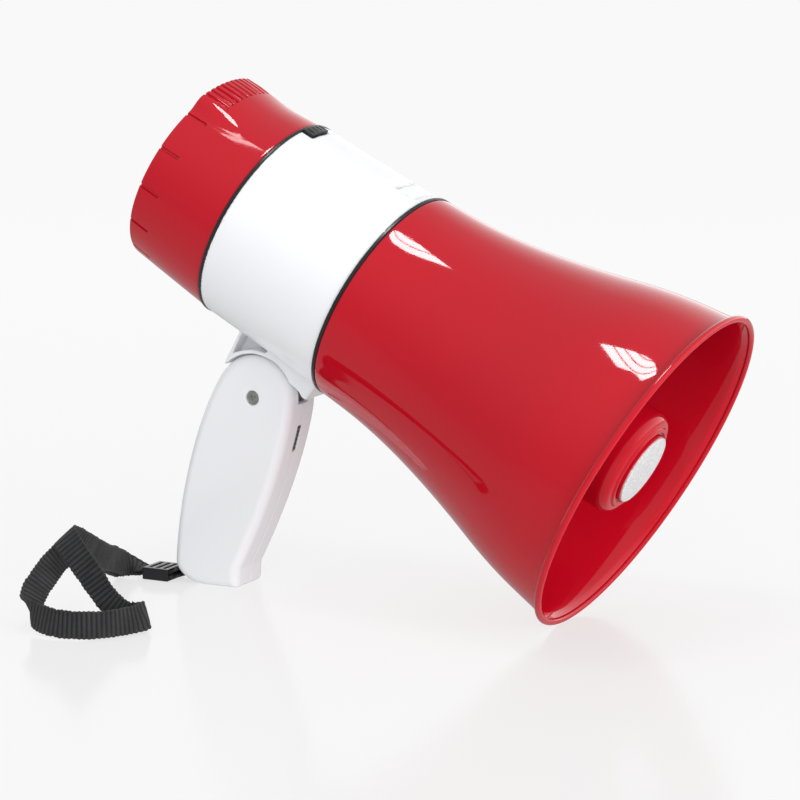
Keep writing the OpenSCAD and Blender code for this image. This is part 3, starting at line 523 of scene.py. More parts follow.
def body_field(x, y, z):
    r = far(y, z)
    side = np.abs(y)
    head = far(x - pivot[0], z - pivot[2])
    bracket = rounded(1.1, outline(BRACKET, x, z), side - half_w)
    bracket = cut(bracket, head - head_r - head_gap, 0.5)
    bearing = np.degrees(np.arctan2(z - pivot[2], x - pivot[0])) - horn_tilt
    reach = neck_reach - (neck_reach - head_r - head_gap) * smooth_step((bearing - 6) / 20)
    front = rounded(0.3, head - reach, pivot[0] - x)
    bracket = cut(bracket, front, 1.2)
    pocket = rounded(0.6, outline(POCKET, x, z), tongue_half - side)
    bracket = cut(bracket, cut(pocket, head - head_r - head_gap - 1.7, 0.4), 0.4)
    shell = join(r - body_radius(x), bracket, 1.6)
    drum = np.where(x > spigot_end - 0.7, spigot_bore, np.where(x > spigot_from, bore_r + 0.8, bore_r))
    shell = rounded(0.3, cut(shell, r - drum), body_x0 - x, x - body_x1)
    tongue = join(head - tongue_r, brick(x, y * 0, z, (70, -1, -70), (83, 1, -43), 0.2))
    shell = join(shell, rounded(0.5, tongue, side - tongue_half), 0.4)
    block = brick(x, y, z, (87, -11.5, 40.9), (101.5, 11.5, 47.5), 0.5)
    shell = join(shell, cut(block, np.maximum(r - spigot_bore, spigot_from + 1.9 - x)))
    for shape in SCOOPS:
        shell = cut(shell, rounded(0.5, outline(shape, x, z), side - scoop_half), 0.5)
    turn = np.abs(np.degrees(np.arctan2(y, z)) - latch_mid) - latch_half - 0.7
    notch = rounded(0.3, turn * latch_arc, x - latch_high[0] - 0.6, 40 - z)
    shell = cut(shell, notch, 0.3)
    return cut(shell, rounded(0.1, head - pivot_bore, side - 10))


def build_body():
    solid("body_skin", HORN, body_field, (body_x0 - 1, -50.5, -82.5), (body_x1 + 1, 50.5, 51), 0.7,
          "horn", WHITE, "white_plastic", ["body_shell"])


def latch_field(x, y, z):
    r = far(y, z)
    bearing = np.degrees(np.arctan2(y, z)) - latch_mid
    turn = (np.abs(bearing) - latch_half) * latch_arc
    tab = rounded(0.35, r - 49.2, 45.6 - r, latch_low[0] - x, x - latch_high[0], turn)
    for step in (-1.5, -0.5, 0.5, 1.5):
        groove = np.abs(bearing - 3.8 * step) * latch_arc - 0.4
        groove = rounded(0.15, groove, 48.75 - r, latch_low[0] + 1.0 - x, x - latch_high[0] + 0.9)
        tab = cut(tab, groove, 0.15)
    return join(tab, brick(x, y, z, (body_x0 + 1.4, -8, 44.2), (latch_high[0] - 1.4, 0, 46.2), 0.2))


def build_latch():
    solid("latch_tab", HORN, latch_field, latch_low - 0.6, latch_high + 0.6, 0.28,
          "latch", BLACK, "black_plastic", ["latch_button"])


# ------------------------------------------------------------------ rear cap

collar_end = span("rear_cap", HORN)[1][0]
cap_len = body_x0 - 1.65
cap_rear_r, cap_mid_r, cap_front_r, cap_mid_x = 44.5, 46.0, 47.6, 20.0
panel_seat = 37.2
groove_count, groove_from, groove_sweep = 12, 45, 270
groove_half_deg, groove_depth = 0.9, 0.85
groove_len = 11.6
pad_mid, pad_half = -10.0, 28.0
pad_top, pad_circle = 46.9, 58.0
pad_len = 30.0
rib_count, rib_pitch, rib_mid = 12, 4.3, -6.0
rib_len, rib_half_deg, rib_depth = 13.8, 0.95, 0.95


def smooth_step(t):
    t = np.clip(t, 0, 1)
    return t * t * (3 - 2 * t)


def cap_base(x):
    """Radius of the cap without its pad and grooves."""
    t = np.linspace(0, 1, 60)
    px = (1 - t) ** 2 + 2 * (1 - t) * t * cap_mid_x + t * t * cap_len
    pr = (1 - t) ** 2 * cap_rear_r + 2 * (1 - t) * t * cap_mid_r + t * t * cap_front_r
    return np.interp(x, px, pr)


def pad_height(x, off):
    """How far the thumb pad stands over the cap, by station and angle from its middle."""
    c = pad_circle - pad_top
    b = c * np.cos(np.radians(off))
    crown = np.sqrt(b * b + pad_circle ** 2 - c * c) - b
    side = 1 - smooth_step((np.abs(off) - pad_half + 6.5) / 11)
    fade = 1 - smooth_step((x - 6) / (pad_len - 6))
    rise = crown - cap_base(x)
    return (rise + np.sqrt(rise * rise + 0.8)) / 2 * side * fade


def trench(distance, half, wall):
    """1 at the floor of a groove and 0 outside it, by distance from its middle."""
    return 1 - smooth_step((np.abs(distance) - half + wall / 2) / wall)


def cap_surface(x, deg):
    """Outer radius of the cap at a station and an angle from straight up."""
    on_pad = (deg - pad_mid + 180) % 360 - 180
    r = cap_base(x) + pad_height(x, on_pad)
    for k in range(groove_count):
        at = groove_from + k * groove_sweep / (groove_count - 1)
        off = (deg - at + 180) % 360 - 180
        run = 1 - smooth_step((x - groove_len + 1.4) / 1.4)
        r = r - groove_depth * run * trench(off, groove_half_deg, 0.45)
    for i in range(rib_count):
        off = on_pad + pad_mid - rib_mid - (i - (rib_count - 1) / 2) * rib_pitch
        run = 1 - smooth_step((x - rib_len + 1.6) / 1.6)
        r = r - rib_depth * run * trench(off, rib_half_deg, 0.6)
    return r


def cap_angles():
    """Angles round the cap in degrees, close together at each groove's walls."""
    steps = [np.arange(-180, 180, 2.0), np.arange(pad_mid - 38, pad_mid + 38, 0.3)]
    for k in range(groove_count):
        at = (groove_from + k * groove_sweep / (groove_count - 1) + 180) % 360 - 180
        steps.append(at + np.linspace(-1.3, 1.3, 14))
    every = np.sort(np.concatenate(steps))
    every = (every + 180) % 360 - 180
    every = np.sort(every)
    return every[np.concatenate(([True], np.diff(every) > 0.08))]


def build_cap():
    deg = cap_angles()
    along = np.concatenate((np.linspace(1, 10, 16), np.linspace(10.3, 15, 22),
                            np.linspace(16, cap_len - 0.4, 26)))
    rows = [(3.8 + 0 * deg, panel_seat + 0 * deg), (0.5 + 0 * deg, panel_seat + 0 * deg),
            (0.15 + 0 * deg, panel_seat + 0.15 + 0 * deg), (0 * deg, panel_seat + 0.5 + 0 * deg)]
    edge_r = cap_surface(1.0, deg)
    for share in (0.35, 0.7):
        rows.append((0 * deg, panel_seat + 0.5 + share * (edge_r - 1.5 - panel_seat)))
    for a in np.radians(np.linspace(0, 90, 7)[:-1]):
        rows.append((1 - np.cos(a) + 0 * deg, edge_r - 1 + np.sin(a)))
    rows += [(x + 0 * deg, cap_surface(x, deg)) for x in along]
    inside = [(cap_len - 0.1, cap_front_r - 0.15), (cap_len, cap_front_r - 0.4), (cap_len, 43.0),
              (collar_end, 43.0), (collar_end, 41.0), (36, 41.0), (36, 44.6), (20, 43.6), (6, 41.6),
              (5.5, 41.2), (5.5, 34.4), (3.8, 34.4)]
    rows += [(x + 0 * deg, r + 0 * deg) for x, r in inside]
    x = np.array([r[0] for r in rows])
    radius = np.array([r[1] for r in rows])
    turn = np.radians(deg)
    points = np.stack((x, radius * np.sin(turn), radius * np.cos(turn)), 2).reshape(-1, 3)
    add_piece("rear_cap_skin", HORN, points, grid_faces(len(rows), len(deg)), "cap", RED,
              ["rear_cap"], 45)


# ------------------------------------------------------------------ rear panel and controls

panel_low, panel_high = span("control_panel", HORN)
knob_low, knob_high = span("volume_knob", HORN)
knob_at = (knob_low + knob_high) / 2
mic_low, mic_high = span("mic_grille", HORN)
mic_at = (mic_low + mic_high) / 2
slide_low, slide_high = span("mode_slider", HORN)
slide_y = (slide_low[1] + slide_high[1]) / 2
slot_z = (slide_low[2] + 0.1, slide_low[2] + 13.2)
panel_face = panel_low[0]
panel_back = panel_face + 2.2
POSTS = [(29, 12), (-29, 12), (0, -31.4)]
key_at = {"record_button": (-8, -26), "play_button": (8, -26)}
key_hole, dial_hole, mic_hole = 3.8, 4.4, 10.0
post_r, post_bore = 2.8, 1.1
TICKS = np.radians(np.linspace(-135, 135, 10))


def panel_field(x, y, z):
    disc = rounded(0.35, far(y, z) - panel_high[1], panel_face - x, x - panel_back)
    knob_r = far(y - knob_at[1], z - knob_at[2])
    lip = rounded(0.25, knob_r - 9.7, 8.7 - knob_r, panel_face - 0.45 - x, x - panel_back)
    disc = join(disc, lip, 0.3)
    for a in TICKS:
        u = (y - knob_at[1]) * np.sin(a) + (z - knob_at[2]) * np.cos(a)
        v = (y - knob_at[1]) * np.cos(a) - (z - knob_at[2]) * np.sin(a)
        disc = join(disc, rounded(0.2, np.abs(u - 11.6) - 0.9, np.abs(v) - 0.35, panel_face - 0.35 - x,
                                  x - panel_back), 0.1)
    for py, pz in key_at.values():
        r = far(y - py, z - pz)
        disc = join(disc, rounded(0.2, r - 5.4, 4.5 - r, panel_face - 0.35 - x, x - panel_back), 0.2)
        disc = cut(disc, rounded(0.1, r - key_hole, x - 6))
    disc = cut(disc, rounded(0.1, knob_r - dial_hole, x - 6))
    dish = rounded(0.3, np.abs(y - slide_y) - 4.4, np.abs(z - sum(slot_z) / 2) - 8.6,
                   x - panel_face - 0.6, panel_face - 4 - x)
    disc = cut(disc, dish, 0.3)
    disc = cut(disc, rounded(0.2, np.abs(y - slide_y) - 2.4, slot_z[0] - 0.2 - z, z - slot_z[1] + 0.2, x - 6))
    disc = cut(disc, rounded(0.1, far(y, z - mic_at[2]) - mic_hole, x - 6))
    for py, pz in POSTS:
        r = far(y - py, z - pz)
        disc = join(disc, rounded(0.2, r - post_r, panel_face + 1 - x, x - panel_high[0]), 0.4)
        disc = cut(disc, rounded(0.1, r - post_bore, 7 - x, x - 15))
    return disc


hole_r, hole_pitch = 0.9, 2.6


def grille_field(x, y, z):
    z = z - mic_at[2]
    r = far(y, z)
    shape = rounded(0.4, r - 9.8, mic_low[0] - 0.2 + 0.012 * r * r - x, x - mic_high[0])
    shape = cut(shape, rounded(0.2, r - hole_r, x - 9), 0.15)
    for ring in (1, 2, 3):
        for k in range(6 * ring):
            a = math.radians(60 * k / ring)
            out = hole_pitch * ring
            hole = far(y - out * math.sin(a), z - out * math.cos(a)) - hole_r
            shape = cut(shape, rounded(0.2, hole, x - 9), 0.15)
    return shape


def knob_field(x, y, z):
    y, z = y - knob_at[1], z - knob_at[2]
    r = far(y, z)
    flute = 0.3 * (1 - np.cos(18 * np.arctan2(y, z)))
    top = rounded(0.8, r - 8 + flute, knob_low[0] - x, x - 0.9)
    top = cut(top, rounded(0.3, far(y, z, (x - knob_low[0] + 9) * 0.9) - 8.3), 0.4)
    stem = rounded(0.2, r - 4.2, 0.5 - x, x - knob_high[0])
    knob = cut(join(top, stem, 0.2), rounded(0.1, r - 2.56, -2.6 - x))
    mark = brick(x, y, z, (knob_low[0] - 2, -0.5, 3), (knob_low[0] + 0.6, 0.5, 8.6), 0.2)
    return cut(knob, mark, 0.2)


def slider_key_field(x, y, z):
    y = y - slide_y
    cap = brick(x, y, z, (slide_low[0], -2.1, slide_low[2] + 0.4), (4.2, 2.1, slide_low[2] + 5.4), 0.4)
    for k in (1.6, 2.9, 4.2):
        cap = cut(cap, rounded(0.1, np.abs(z - slide_low[2] - k) - 0.3, x - slide_low[0] - 0.35), 0.15)
    return join(cap, brick(x, y, z, (4.1, -3.2, slide_low[2]), (5.6, 3.2, slide_low[2] + 5.8), 0.2))


def press_key_field(at):
    def field(x, y, z):
        r = far(y - at[0], z - at[1])
        dish = far(x + 15.5, y - at[0], z - at[1]) - 15.45
        stem = cut(rounded(0.5, r - 3.6, -0.3 - x, x - 4.6), dish, 0.3)
        return join(stem, rounded(0.2, r - 4.6, 4.1 - x, x - 5.3))
    return field


def build_panel():
    solid("panel_face", HORN, panel_field, panel_low - 1.2, panel_high + 0.8, 0.5, "cap", SATIN,
          "dark_plastic", ["control_panel"])
    solid("mic_grille_face", HORN, grille_field, mic_low - 0.6, mic_high + 0.6, 0.32, "cap", BLACK,
          "black_plastic", ["mic_grille"])
    solid("volume_dial_cap", HORN, knob_field, knob_low - 0.6, knob_high + 0.6, 0.32, "volume_dial", GREY,
          "grey_plastic", ["volume_knob"])
    solid("mode_key_cap", HORN, slider_key_field, slide_low - 0.5, slide_high + 0.5, 0.25, "mode_key", GREY,
          "grey_plastic", ["mode_slider"])
    for node, body, material, slot in (("record_button", "record_key", PRESS_RED, "button_red"),
                                       ("play_button", "play_key", GREY, "grey_plastic")):
        low, high = span(node, HORN)
        solid(body + "_cap", HORN, press_key_field(key_at[node]), low - 0.5, high + 0.5, 0.25, body, material,
              slot, [node])


# ------------------------------------------------------------------ handle

foot = -span("handle_left", HANDLE)[0][2]
shell_t = 2.4
SCREWS = [(-24, -34), (-31, -68), (-1, -56)]
pin_x, _, pin_z = (span("strap_pin", HANDLE)[0] + span("strap_pin", HANDLE)[1]) / 2
key_way = -np.array(JOINTS["talk_press"]["axis"])
key_x, key_z = 15.0, -18.9
KEY = Space(HANDLE.out((key_x, 0, key_z)), key_way)
boss_r = 3.2


def handle_outline():
    head = arc((0, 0), head_r, 142, -10, 28)
    front = bezier([(18.9, -4.4), (16.6, -20), (7.6, -48), (-8.6, -79)], 18)
    toe = arc((-11.3, -foot + 2.2), 2.2, 0, -90, 5)
    heel = bezier([(-26, -foot), (-36, -foot), (-41.6, -foot + 5.2), (-41.8, -foot + 10.2)], 10)
    back = bezier([(-41.8, -foot + 10.3), (-40, -44), (-28, -6), (-15.7, 11.5)], 18)
    return np.concatenate((head, front, toe, heel, back))


HANDLE_OUTLINE = handle_outline()
EXIT = [(pin_x + 2, pin_z - 3), (pin_x - 4, pin_z + 1), (-50, pin_z - 3), (-50, -foot - 1),
        (pin_x + 1, -foot - 1)]
SWEEP = [(0, 0)] + [(30 * math.cos(a), 30 * math.sin(a)) for a in np.radians(np.arange(96, -9, -8))]


def handle_field(nut_side):
    """Field of one shell, on the y > 0 side; the other side is mirrored after it is built."""
    def field(x, y, z):
        d = outline(HANDLE_OUTLINE, x, z)
        shell = rounded(4.2, d, y - half_w)
        shell = rounded(0.22, shell, 0.05 - y)
        room = rounded(2.0, d + shell_t + 0.4, y - half_w + shell_t, -1 - y)
        room = cut(room, rounded(0.4, far(x, z) - 8, tongue_half + 0.4 - y))
        for sx, sz in SCREWS:
            room = cut(room, far(x - sx, z - sz) - boss_r, 0.5)
        room = cut(room, rounded(0.3, far(x - pin_x, z - pin_z) - 4, 6.6 - y))
        shell = cut(shell, room)
        gap = join(far(x, z) - 11.6, outline(SWEEP, x, z))
        shell = cut(shell, rounded(0.1, gap, y - tongue_half - 0.3), 0.2)
        u = (x - key_x) * key_way[0] + (z - key_z) * key_way[2]
        v = -(x - key_x) * key_way[2] + (z - key_z) * key_way[0]
        shell = cut(shell, rounded(0.4, np.abs(v) - 6.2, y - 1.8, -8 - u), 0.3)
        reach = 6.5 if nut_side else 10.3
        shell = cut(shell, rounded(0.4, outline(EXIT, x, z), y - reach), 0.4)
        shell = cut(shell, rounded(0.1, far(x - pin_x, z - pin_z) - 1.82, y - 8.6))
        shell = cut(shell, rounded(0.1, far(x, z) - 2.05, -2 - y))
        if nut_side:
            hexagon = np.maximum.reduce([np.abs(x * math.cos(a) + z * math.sin(a))
                                         for a in np.radians((30, 90, 150))]) - 3.4
            shell = cut(shell, rounded(0.1, hexagon, half_w - 2.8 - y), 0.3)
            for sx, sz in SCREWS:
                shell = cut(shell, rounded(0.1, far(x - sx, z - sz) - 2.7, half_w - 4 - y), 0.4)
                shell = cut(shell, far(x - sx, z - sz) - 1.5)
        else:
            shell = cut(shell, rounded(0.2, far(x, z) - 3.3, half_w - 1.8 - y), 0.5)
        return shell
    return field


def bolt_field(x, y, z):
    r = far(x, z)
    head = rounded(0.35, r - 2.95, y - bolt_low[1] - 1.3, bolt_low[1] + 0.045 * r * r - y)
    shank = rounded(0.2, r - 2, y - bolt_high[1], bolt_low[1] + 0.5 - y)
    a = math.radians(25)
    u, v = x * math.cos(a) + z * math.sin(a), -x * math.sin(a) + z * math.cos(a)
    deep = y - bolt_low[1] - 1.0 + 0.35 * r
    cross = join(rounded(0.1, np.abs(u) - 0.42, np.abs(v) - 1.9, deep),
                 rounded(0.1, np.abs(v) - 0.42, np.abs(u) - 1.9, deep))
    return cut(join(head, shank, 0.1), cross, 0.15)


def talk_key_field(x, y, z):
    key = brick(x, y, z, (-5, -1.5, -5.9), (0.4, 1.5, 5.9), 0.4)
    for k in (-4, -2, 0, 2, 4):
        key = cut(key, rounded(0.1, np.abs(z - k) - 0.3, 0.1 - x), 0.2)
    return join(key, brick(x, y, z, (-6, -3.2, -7.4), (-4.4, 3.2, 7.4), 0.2))


def build_handle():
    low, high = span("handle_left", HANDLE)
    box = ((low[0] - 0.8, -0.6, low[2] - 0.8), (high[0] + 0.8, half_w + 0.8, high[2] + 0.8))
    solid("handle_left_skin", HANDLE, handle_field(True), *box, 0.55, "handle", WHITE, "white_plastic",
          ["handle_left"])
    solid("handle_right_skin", HANDLE, handle_field(False), *box, 0.55, "handle", WHITE, "white_plastic",
          ["handle_right"], mirror=True)
    solid("pivot_bolt_body", HANDLE, bolt_field, bolt_low - 0.5, bolt_high + 0.5, 0.2, "handle", ZINC,
          "zinc_steel", ["pivot_bolt"])
    solid("talk_key_cap", KEY, talk_key_field, (-6.6, -3.8, -8), (1.5, 3.8, 8), 0.22, "talk_key", BLACK,
          "black_plastic", ["talk_button"])


# ------------------------------------------------------------------ wrist strap

slider_low, slider_high = span("strap_slider", ROW)
slide_mid = (slider_low + slider_high) / 2
strap_w, strap_t = 12.0, 1.3
rib_step = 2.05
upper, lower = 3.5, 1.9
# Middle of the strap and its lean from lower to upper edge: x, y, z, lean x, y, z.
RUN = [(-38, slide_mid[1], upper, 0, 12, 0), (-43.5, slide_mid[1], upper, 0, 12, 0),
       (-49, -9.5, 5.4, -2.5, 10.2, 5.6), (-49, -18, 8.0, -2.2, 5, 10.5),
       (-43.5, -32, 12.8, 0.5, 4.2, 11.2), (-35.5, -52.5, 18.6, 2, 4.5, 11)]
LOOP = [(-30, -76, 28.5, 3.5, 5.5, 10), (-30, -89, 35.3, 6.2, 5.5, 8.6), (-28.2, -95.5, 37, 7, 5.5, 8),
        (-22, -98.8, 32, 7.8, 4, 8.2), (-14, -99.2, 23.2, 8, 2.5, 8.6), (-4.5, -98.5, 11.5, 9, 1, 7.6),
        (4.5, -96.5, 5.6, 8, 0, 9), (11, -95.8, 6.4, 1, 0, 12), (13.6, -98.5, 7.2, -4.8, 0, 11),
        (11.5, -106, 6.5, -3.5, -1.5, 11.4), (3.6, -118.5, 6.3, 0.5, 1, 12),
        (-8.4, -124.5, 6.3, 0.5, 1.5, 11.8), (-19.5, -124.5, 6.9, -1, 2.5, 11.6),
        (-29.8, -120.3, 9, -4, 1, 11.3), (-33, -113, 14.8, -8, -3.5, 8),
        (-33.2, -104.5, 20.3, -7.5, -5, 8), (-33.2, -93, 26, -5.5, -2, 10), (-34, -79, 28, -2.5, 2, 11.3)]


def strap_rows():
    """The closed path of the strap: out from the pin, round the loop and back to the pin."""
    pin = HANDLE.out((pin_x, 0, pin_z)) / MM
    wrap_r = 2.62
    wrap = [(pin[0] + wrap_r * math.cos(a), 0, pin[2] + wrap_r * math.sin(a), 0, 12, 0)
            for a in np.radians((-115, -60, 0, 60, 115))]
    back = [np.add(row, (0, 0, lower - upper, 0, 0, 0) if i < 2 else (-3, -1.2, -0.8, 0, 0, 0))
            for i, row in enumerate(RUN)][::-1]
    out_way = [(-21.5, -2.4, 7.2, 0, 12, 0), (-26, -5.9, 4.2, 0, 12, 0), (-30, slide_mid[1], upper, 0, 12, 0)]
    home_way = [(-30, slide_mid[1], lower, 0, 12, 0), (-25.6, -5.7, 2.0, 0, 12, 0),
                (-20.6, -1.9, 3.6, 0, 12, 0)]
    return np.array(wrap + out_way + RUN + LOOP + [tuple(r) for r in back] + home_way, float)


def smooth_ring(rows, steps):
    """Closed Catmull-Rom curve through the rows."""
    t = (np.arange(steps) / steps)[:, None]
    out = []
    for i in range(len(rows)):
        a, b, c, d = (rows[(i + k) % len(rows)] for k in (-1, 0, 1, 2))
        out.append(0.5 * (2 * b + (c - a) * t + (2 * a - 5 * b + 4 * c - d) * t * t
                          + (3 * b - a - 3 * c + d) * t ** 3))
    return np.concatenate(out)


def loose(rng, count, width):
    """A smooth random run of values, of about unit size."""
    window = np.hanning(width)
    return np.convolve(rng.normal(0, 1, count + width - 1), window / np.sqrt((window ** 2).sum()), "valid")


def unit(v):
    return v / np.linalg.norm(v, axis=-1, keepdims=True)


def build_strap():
    fine = smooth_ring(strap_rows(), 60)
    reach = np.concatenate(([0], np.cumsum(np.linalg.norm(np.diff(fine[:, :3], axis=0), axis=1))))
    count = int(reach[-1] / (rib_step / 7))
    at = np.linspace(0, reach[-1], count, endpoint=False)
    path = np.stack([np.interp(at, reach, fine[:, k]) for k in range(6)], 1)
    way = unit(np.roll(path[:, :3], -2, 0) - np.roll(path[:, :3], 2, 0))
    lean = path[:, 3:] - way * (path[:, 3:] * way).sum(1, keepdims=True)
    wide = unit(lean)
    face = unit(np.cross(way, wide))
    rib = np.cos(2 * math.pi * at / (reach[-1] / round(reach[-1] / rib_step)))
    rng = np.random.default_rng(7)
    sway = loose(rng, count, 81) * 0.14
    ridge = rib * (0.2 + 0.05 * loose(rng, count, 25))
    frill = 0.16 * rib + 0.1 * loose(rng, count, 15)
    across = np.array((-1, -0.96, -0.86, -0.8, -0.5, 0, 0.5, 0.8, 0.86, 0.96, 1))
    body = np.array((0.25, 0.8, 0.95, 0.72, 1, 1, 1, 0.72, 0.95, 0.8, 0.25))
    ribbed = np.array((0, 0.1, 0.25, 0.8, 1, 1, 1, 0.8, 0.25, 0.1, 0))
    low = path[:, 2] - np.abs(wide[:, 2]) * strap_w / 2 - np.abs(face[:, 2]) * strap_t / 2
    middle = path[:, :3] + np.stack((0 * low, 0 * low, np.maximum(0, 0.15 - low)), 1) + face * sway[:, None]
    columns, lie = [], []
    for side, order in ((1, range(11)), (-1, range(10, -1, -1))):
        for k in order:
            half = strap_t / 2 * body[k] + ribbed[k] * (ridge - 0.07)
            out = across[k] * (strap_w / 2 - 0.1) + frill * (abs(across[k]) > 0.9) * np.sign(across[k])
            columns.append(middle + wide * np.reshape(out, (-1, 1)) + side * face * half[:, None])
            # The third value is the rib phase; the webbing material uses it to paint shade into the rib
            # troughs.
            lie.append(np.stack((at, out + 0 * at, rib), 1))
    points = np.stack(columns, 1).reshape(-1, 3)
    strap = add_piece("strap_webbing", ROW, points, grid_faces(count, len(columns)), "handle", WEBBING,
                      ["wrist_strap"], 75)
    values = np.stack(lie, 1).reshape(-1, 3)
    if len(strap.data.vertices) == len(values):
        layer = strap.data.attributes.new("lie", "FLOAT_VECTOR", "POINT")
        layer.data.foreach_set("vector", values.astype(np.float32).ravel())


def buckle_field(x, y, z):
    box = brick(x, y, z, slider_low, slider_high, 0.6)
    tunnel = rounded(0.3, np.abs(y - slide_mid[1]) - 6.4, 0.9 - z, z - 4.4)
    box = cut(box, tunnel, 0.3)
    for k in (0, 1, 2):
        x0 = slider_low[0] + 2.3 + 3.7 * k
        slot = rounded(0.3, x0 - x, x - x0 - 1.5, np.abs(y - slide_mid[1]) - 5.5, 3.1 - z)
        box = cut(box, slot, 0.35)
    return box


def build_buckle():
    solid("strap_buckle", ROW, buckle_field, slider_low - 0.7, slider_high + 0.7, 0.3,
          "strap_adjuster", BLACK, "black_plastic", ["strap_slider"])


# ------------------------------------------------------------------ parts kept from the CAD

KEPT = {
    "throat_tube": SATIN, "bell_screws": STEEL, "reflector_screw": STEEL, "driver_housing": SATIN,
    "driver_screws": STEEL, "diaphragm": FILM, "voice_coil": COPPER, "top_plate": STEEL,
    "magnet": FERRITE, "yoke": STEEL, "driver_leads": WIRE, "battery_holder": BLACK, "c_cells": CELLS,
    "cell_contacts": STEEL, "cell_springs": STEEL, "battery_lid": BLACK, "lid_screw": STEEL,
    "latch_spring": STEEL, "mic_seal": FOAM, "microphone": CAPSULE, "control_board": BOARD,
    "board_screws": STEEL, "potentiometer": CAPSULE, "slide_switch": STEEL, "tact_switches": SATIN,
    "pivot_nut": ZINC, "pivot_bush": BRASS, "handle_screws": ZINC, "talk_spring": STEEL,
    "talk_switch": SATIN, "strap_pin": STEEL,
}


def dress_kept():
    for node, material in KEPT.items():
        mesh = frame["nodes"][node].data
        mesh.materials.clear()
        mesh.materials.append(material)


# ------------------------------------------------------------------ studio

def pale_floor():
    """A wide, bright floor with soft shadows and a faint mirror image, even in tone to its edge."""
    g = Graph("studio_floor")
    reach = g.node("ShaderNodeVectorMath", {0: g.place}, operation="LENGTH").outputs["Value"]
    fade = g.node("ShaderNodeMapRange", {"Value": reach, "From Min": 0.5, "From Max": 2.2,
                                         "To Min": floor_own_light, "To Max": 1.0},
                  interpolation_type="SMOOTHSTEP").outputs[0]
    lit = g.node("ShaderNodeBsdfPrincipled", {
        "Base Color": (0.9, 0.9, 0.905, 1), "Roughness": g.remap(g.noise(30.0), 0.3, 0.7, 0.13, 0.17),
        "IOR": 1.4})
    seen = g.node("ShaderNodeLightPath")
    strength = g.remap(seen.outputs["Is Glossy Ray"], 0.0, 1.0, backdrop_tone, floor_in_gloss)
    own = g.node("ShaderNodeEmission", {"Color": (1, 1, 1, 1), "Strength": strength})
    blend = g.node("ShaderNodeMixShader", {0: fade, 1: lit.outputs[0], 2: own.outputs[0]})
    g.tree.links.new(blend.outputs[0], g.output.inputs["Surface"])
    return g.material


# Brightness of the backdrop to the camera, of the floor's own light near the object, and of the
# floor, the room behind, the room before and the room above in mirror images.
backdrop_tone = 0.945
floor_own_light = 0.72
floor_in_gloss = 0.34
gloss_behind, gloss_before, gloss_top = 1.85, 0.45, 0.75
ambient = 0.74
floor_half = 14.0


def build_studio():
    mesh = bpy.data.meshes.new("floor")
    corners = [(floor_half * sx, floor_half * sy, 0) for sx, sy in ((-1, -1), (1, -1), (1, 1), (-1, 1))]
    mesh.from_pydata(corners, [], [(0, 1, 2, 3)])
    mesh.materials.append(pale_floor())
    floor = bpy.data.objects.new("floor", mesh)
    floor.location.z = -0.0001
    bpy.context.scene.collection.objects.link(floor)

    world = bpy.data.worlds.new("studio")
    bpy.context.scene.world = world
    world.use_nodes = True
    tree = world.node_tree
    tree.nodes.clear()
    place = tree.nodes.new("ShaderNodeTexCoord")
    split = tree.nodes.new("ShaderNodeSeparateXYZ")
    turn, rise = (tree.nodes.new("ShaderNodeMapRange") for _ in range(2))
    for key, value in (("From Min", -0.35), ("From Max", 0.25), ("To Min", gloss_before),
                       ("To Max", gloss_behind)):
        turn.inputs[key].default_value = value
    for key, value in (("From Min", 0.15), ("From Max", 0.75), ("To Max", gloss_top)):
        rise.inputs[key].default_value = value
    path = tree.nodes.new("ShaderNodeLightPath")
    in_gloss, on_camera = (tree.nodes.new("ShaderNodeMix") for _ in range(2))
    in_gloss.data_type = on_camera.data_type = "FLOAT"
    in_gloss.inputs[2].default_value = ambient
    on_camera.inputs[3].default_value = backdrop_tone
    back = tree.nodes.new("ShaderNodeBackground")
    out = tree.nodes.new("ShaderNodeOutputWorld")
    tree.links.new(place.outputs["Generated"], split.inputs[0])
    tree.links.new(split.outputs[1], turn.inputs["Value"])
    tree.links.new(split.outputs[2], rise.inputs["Value"])
    tree.links.new(turn.outputs[0], rise.inputs["To Min"])
    tree.links.new(path.outputs["Is Glossy Ray"], in_gloss.inputs[0])
    tree.links.new(rise.outputs[0], in_gloss.inputs[3])
    tree.links.new(path.outputs["Is Camera Ray"], on_camera.inputs[0])
    tree.links.new(in_gloss.outputs[0], on_camera.inputs[2])
    tree.links.new(on_camera.outputs[0], back.inputs["Strength"])
    tree.links.new(back.outputs[0], out.inputs["Surface"])


aim = Vector((0.0851, 0.0, 0.0904))
azimuth, elevation, distance = math.radians(26.62), math.radians(9.5), 1.3146


def soft_light(name, place, target, size, radiance, glossy=True):
    """A rectangular panel of even radiance facing a target."""
    light = bpy.data.lights.new(name, "AREA")
    light.shape = "RECTANGLE"
    light.size, light.size_y = size
    light.energy = radiance * math.pi * size[0] * size[1]
    lamp = bpy.data.objects.new(name, light)
    lamp.location = place
    lamp.rotation_euler = (Vector(place) - Vector(target)).to_track_quat("Z", "Y").to_euler()
    lamp.visible_glossy = glossy
    bpy.context.scene.collection.objects.link(lamp)
    return lamp


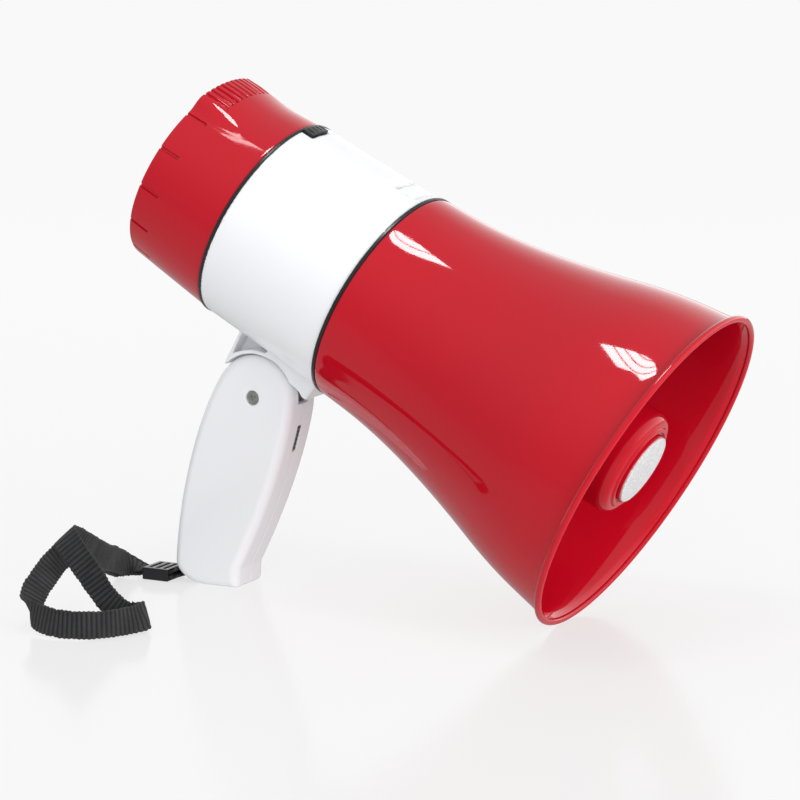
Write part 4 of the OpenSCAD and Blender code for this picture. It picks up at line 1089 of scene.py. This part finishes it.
# The overhead softbox: where its panes start and end along it, with thin bars between them, and
# its two sides across.
PANES = [(0.028, 0.079), (0.087, 0.127), (0.135, 0.175), (0.183, 0.26)]
pane_low, pane_high, softbox_height, softbox_turn = -0.33, -0.134, 1.0, math.radians(22.2)
pane_radiance = 21.0
# A thin lamp that only the cap sees.
strip_at, strip_turn = (-0.014, -0.178), math.radians(70)


def build_lights():
    along = Vector((math.cos(softbox_turn), math.sin(softbox_turn), 0))
    across = Vector((-along.y, along.x, 0))
    middle = across * (pane_low + pane_high) / 2 + Vector((0, 0, softbox_height))
    for k, (start, end) in enumerate(PANES):
        lamp = soft_light(f"pane_{k}", middle + along * (start + end) / 2, middle * 0,
                          (end - start, pane_high - pane_low), pane_radiance)
        lamp.rotation_euler = (0, 0, softbox_turn)
        # Half the panes are seen only in mirror images, so that upward faces don't burn out.
        lamp.visible_diffuse = k % 2 == 0
    strip = soft_light("cap_strip", (*strip_at, softbox_height), (*strip_at, 0), (0.13, 0.012), 10.0)
    strip.rotation_euler = (0, 0, strip_turn)
    strip.light_linking.receiver_collection = bpy.data.collections.new("cap_only")
    strip.light_linking.receiver_collection.objects.link(bpy.data.objects["rear_cap_skin"])
    soft_light("front_fill", (1.0, -1.9, 0.7), aim, (1.6, 1.2), 2.7, glossy=False)
    soft_light("mouth_fill", (2.0, -0.5, 0.2), aim, (1.4, 1.0), 8.5, glossy=False)


def build_camera():
    data = bpy.data.cameras.new("camera")
    data.lens = 135
    data.sensor_width = 36
    camera = bpy.data.objects.new("camera", data)
    back = Vector((math.sin(azimuth) * math.cos(elevation), -math.cos(azimuth) * math.cos(elevation),
                   math.sin(elevation)))
    camera.location = aim + back * distance
    camera.rotation_euler = back.to_track_quat("Z", "Y").to_euler()
    bpy.context.scene.collection.objects.link(camera)
    bpy.context.scene.camera = camera


build_horn()
build_body()
build_latch()
build_cap()
build_panel()
build_handle()
build_strap()
build_buckle()
dress_kept()
build_studio()
build_lights()
build_camera()
bpy.context.scene.view_settings.view_transform = "Standard"
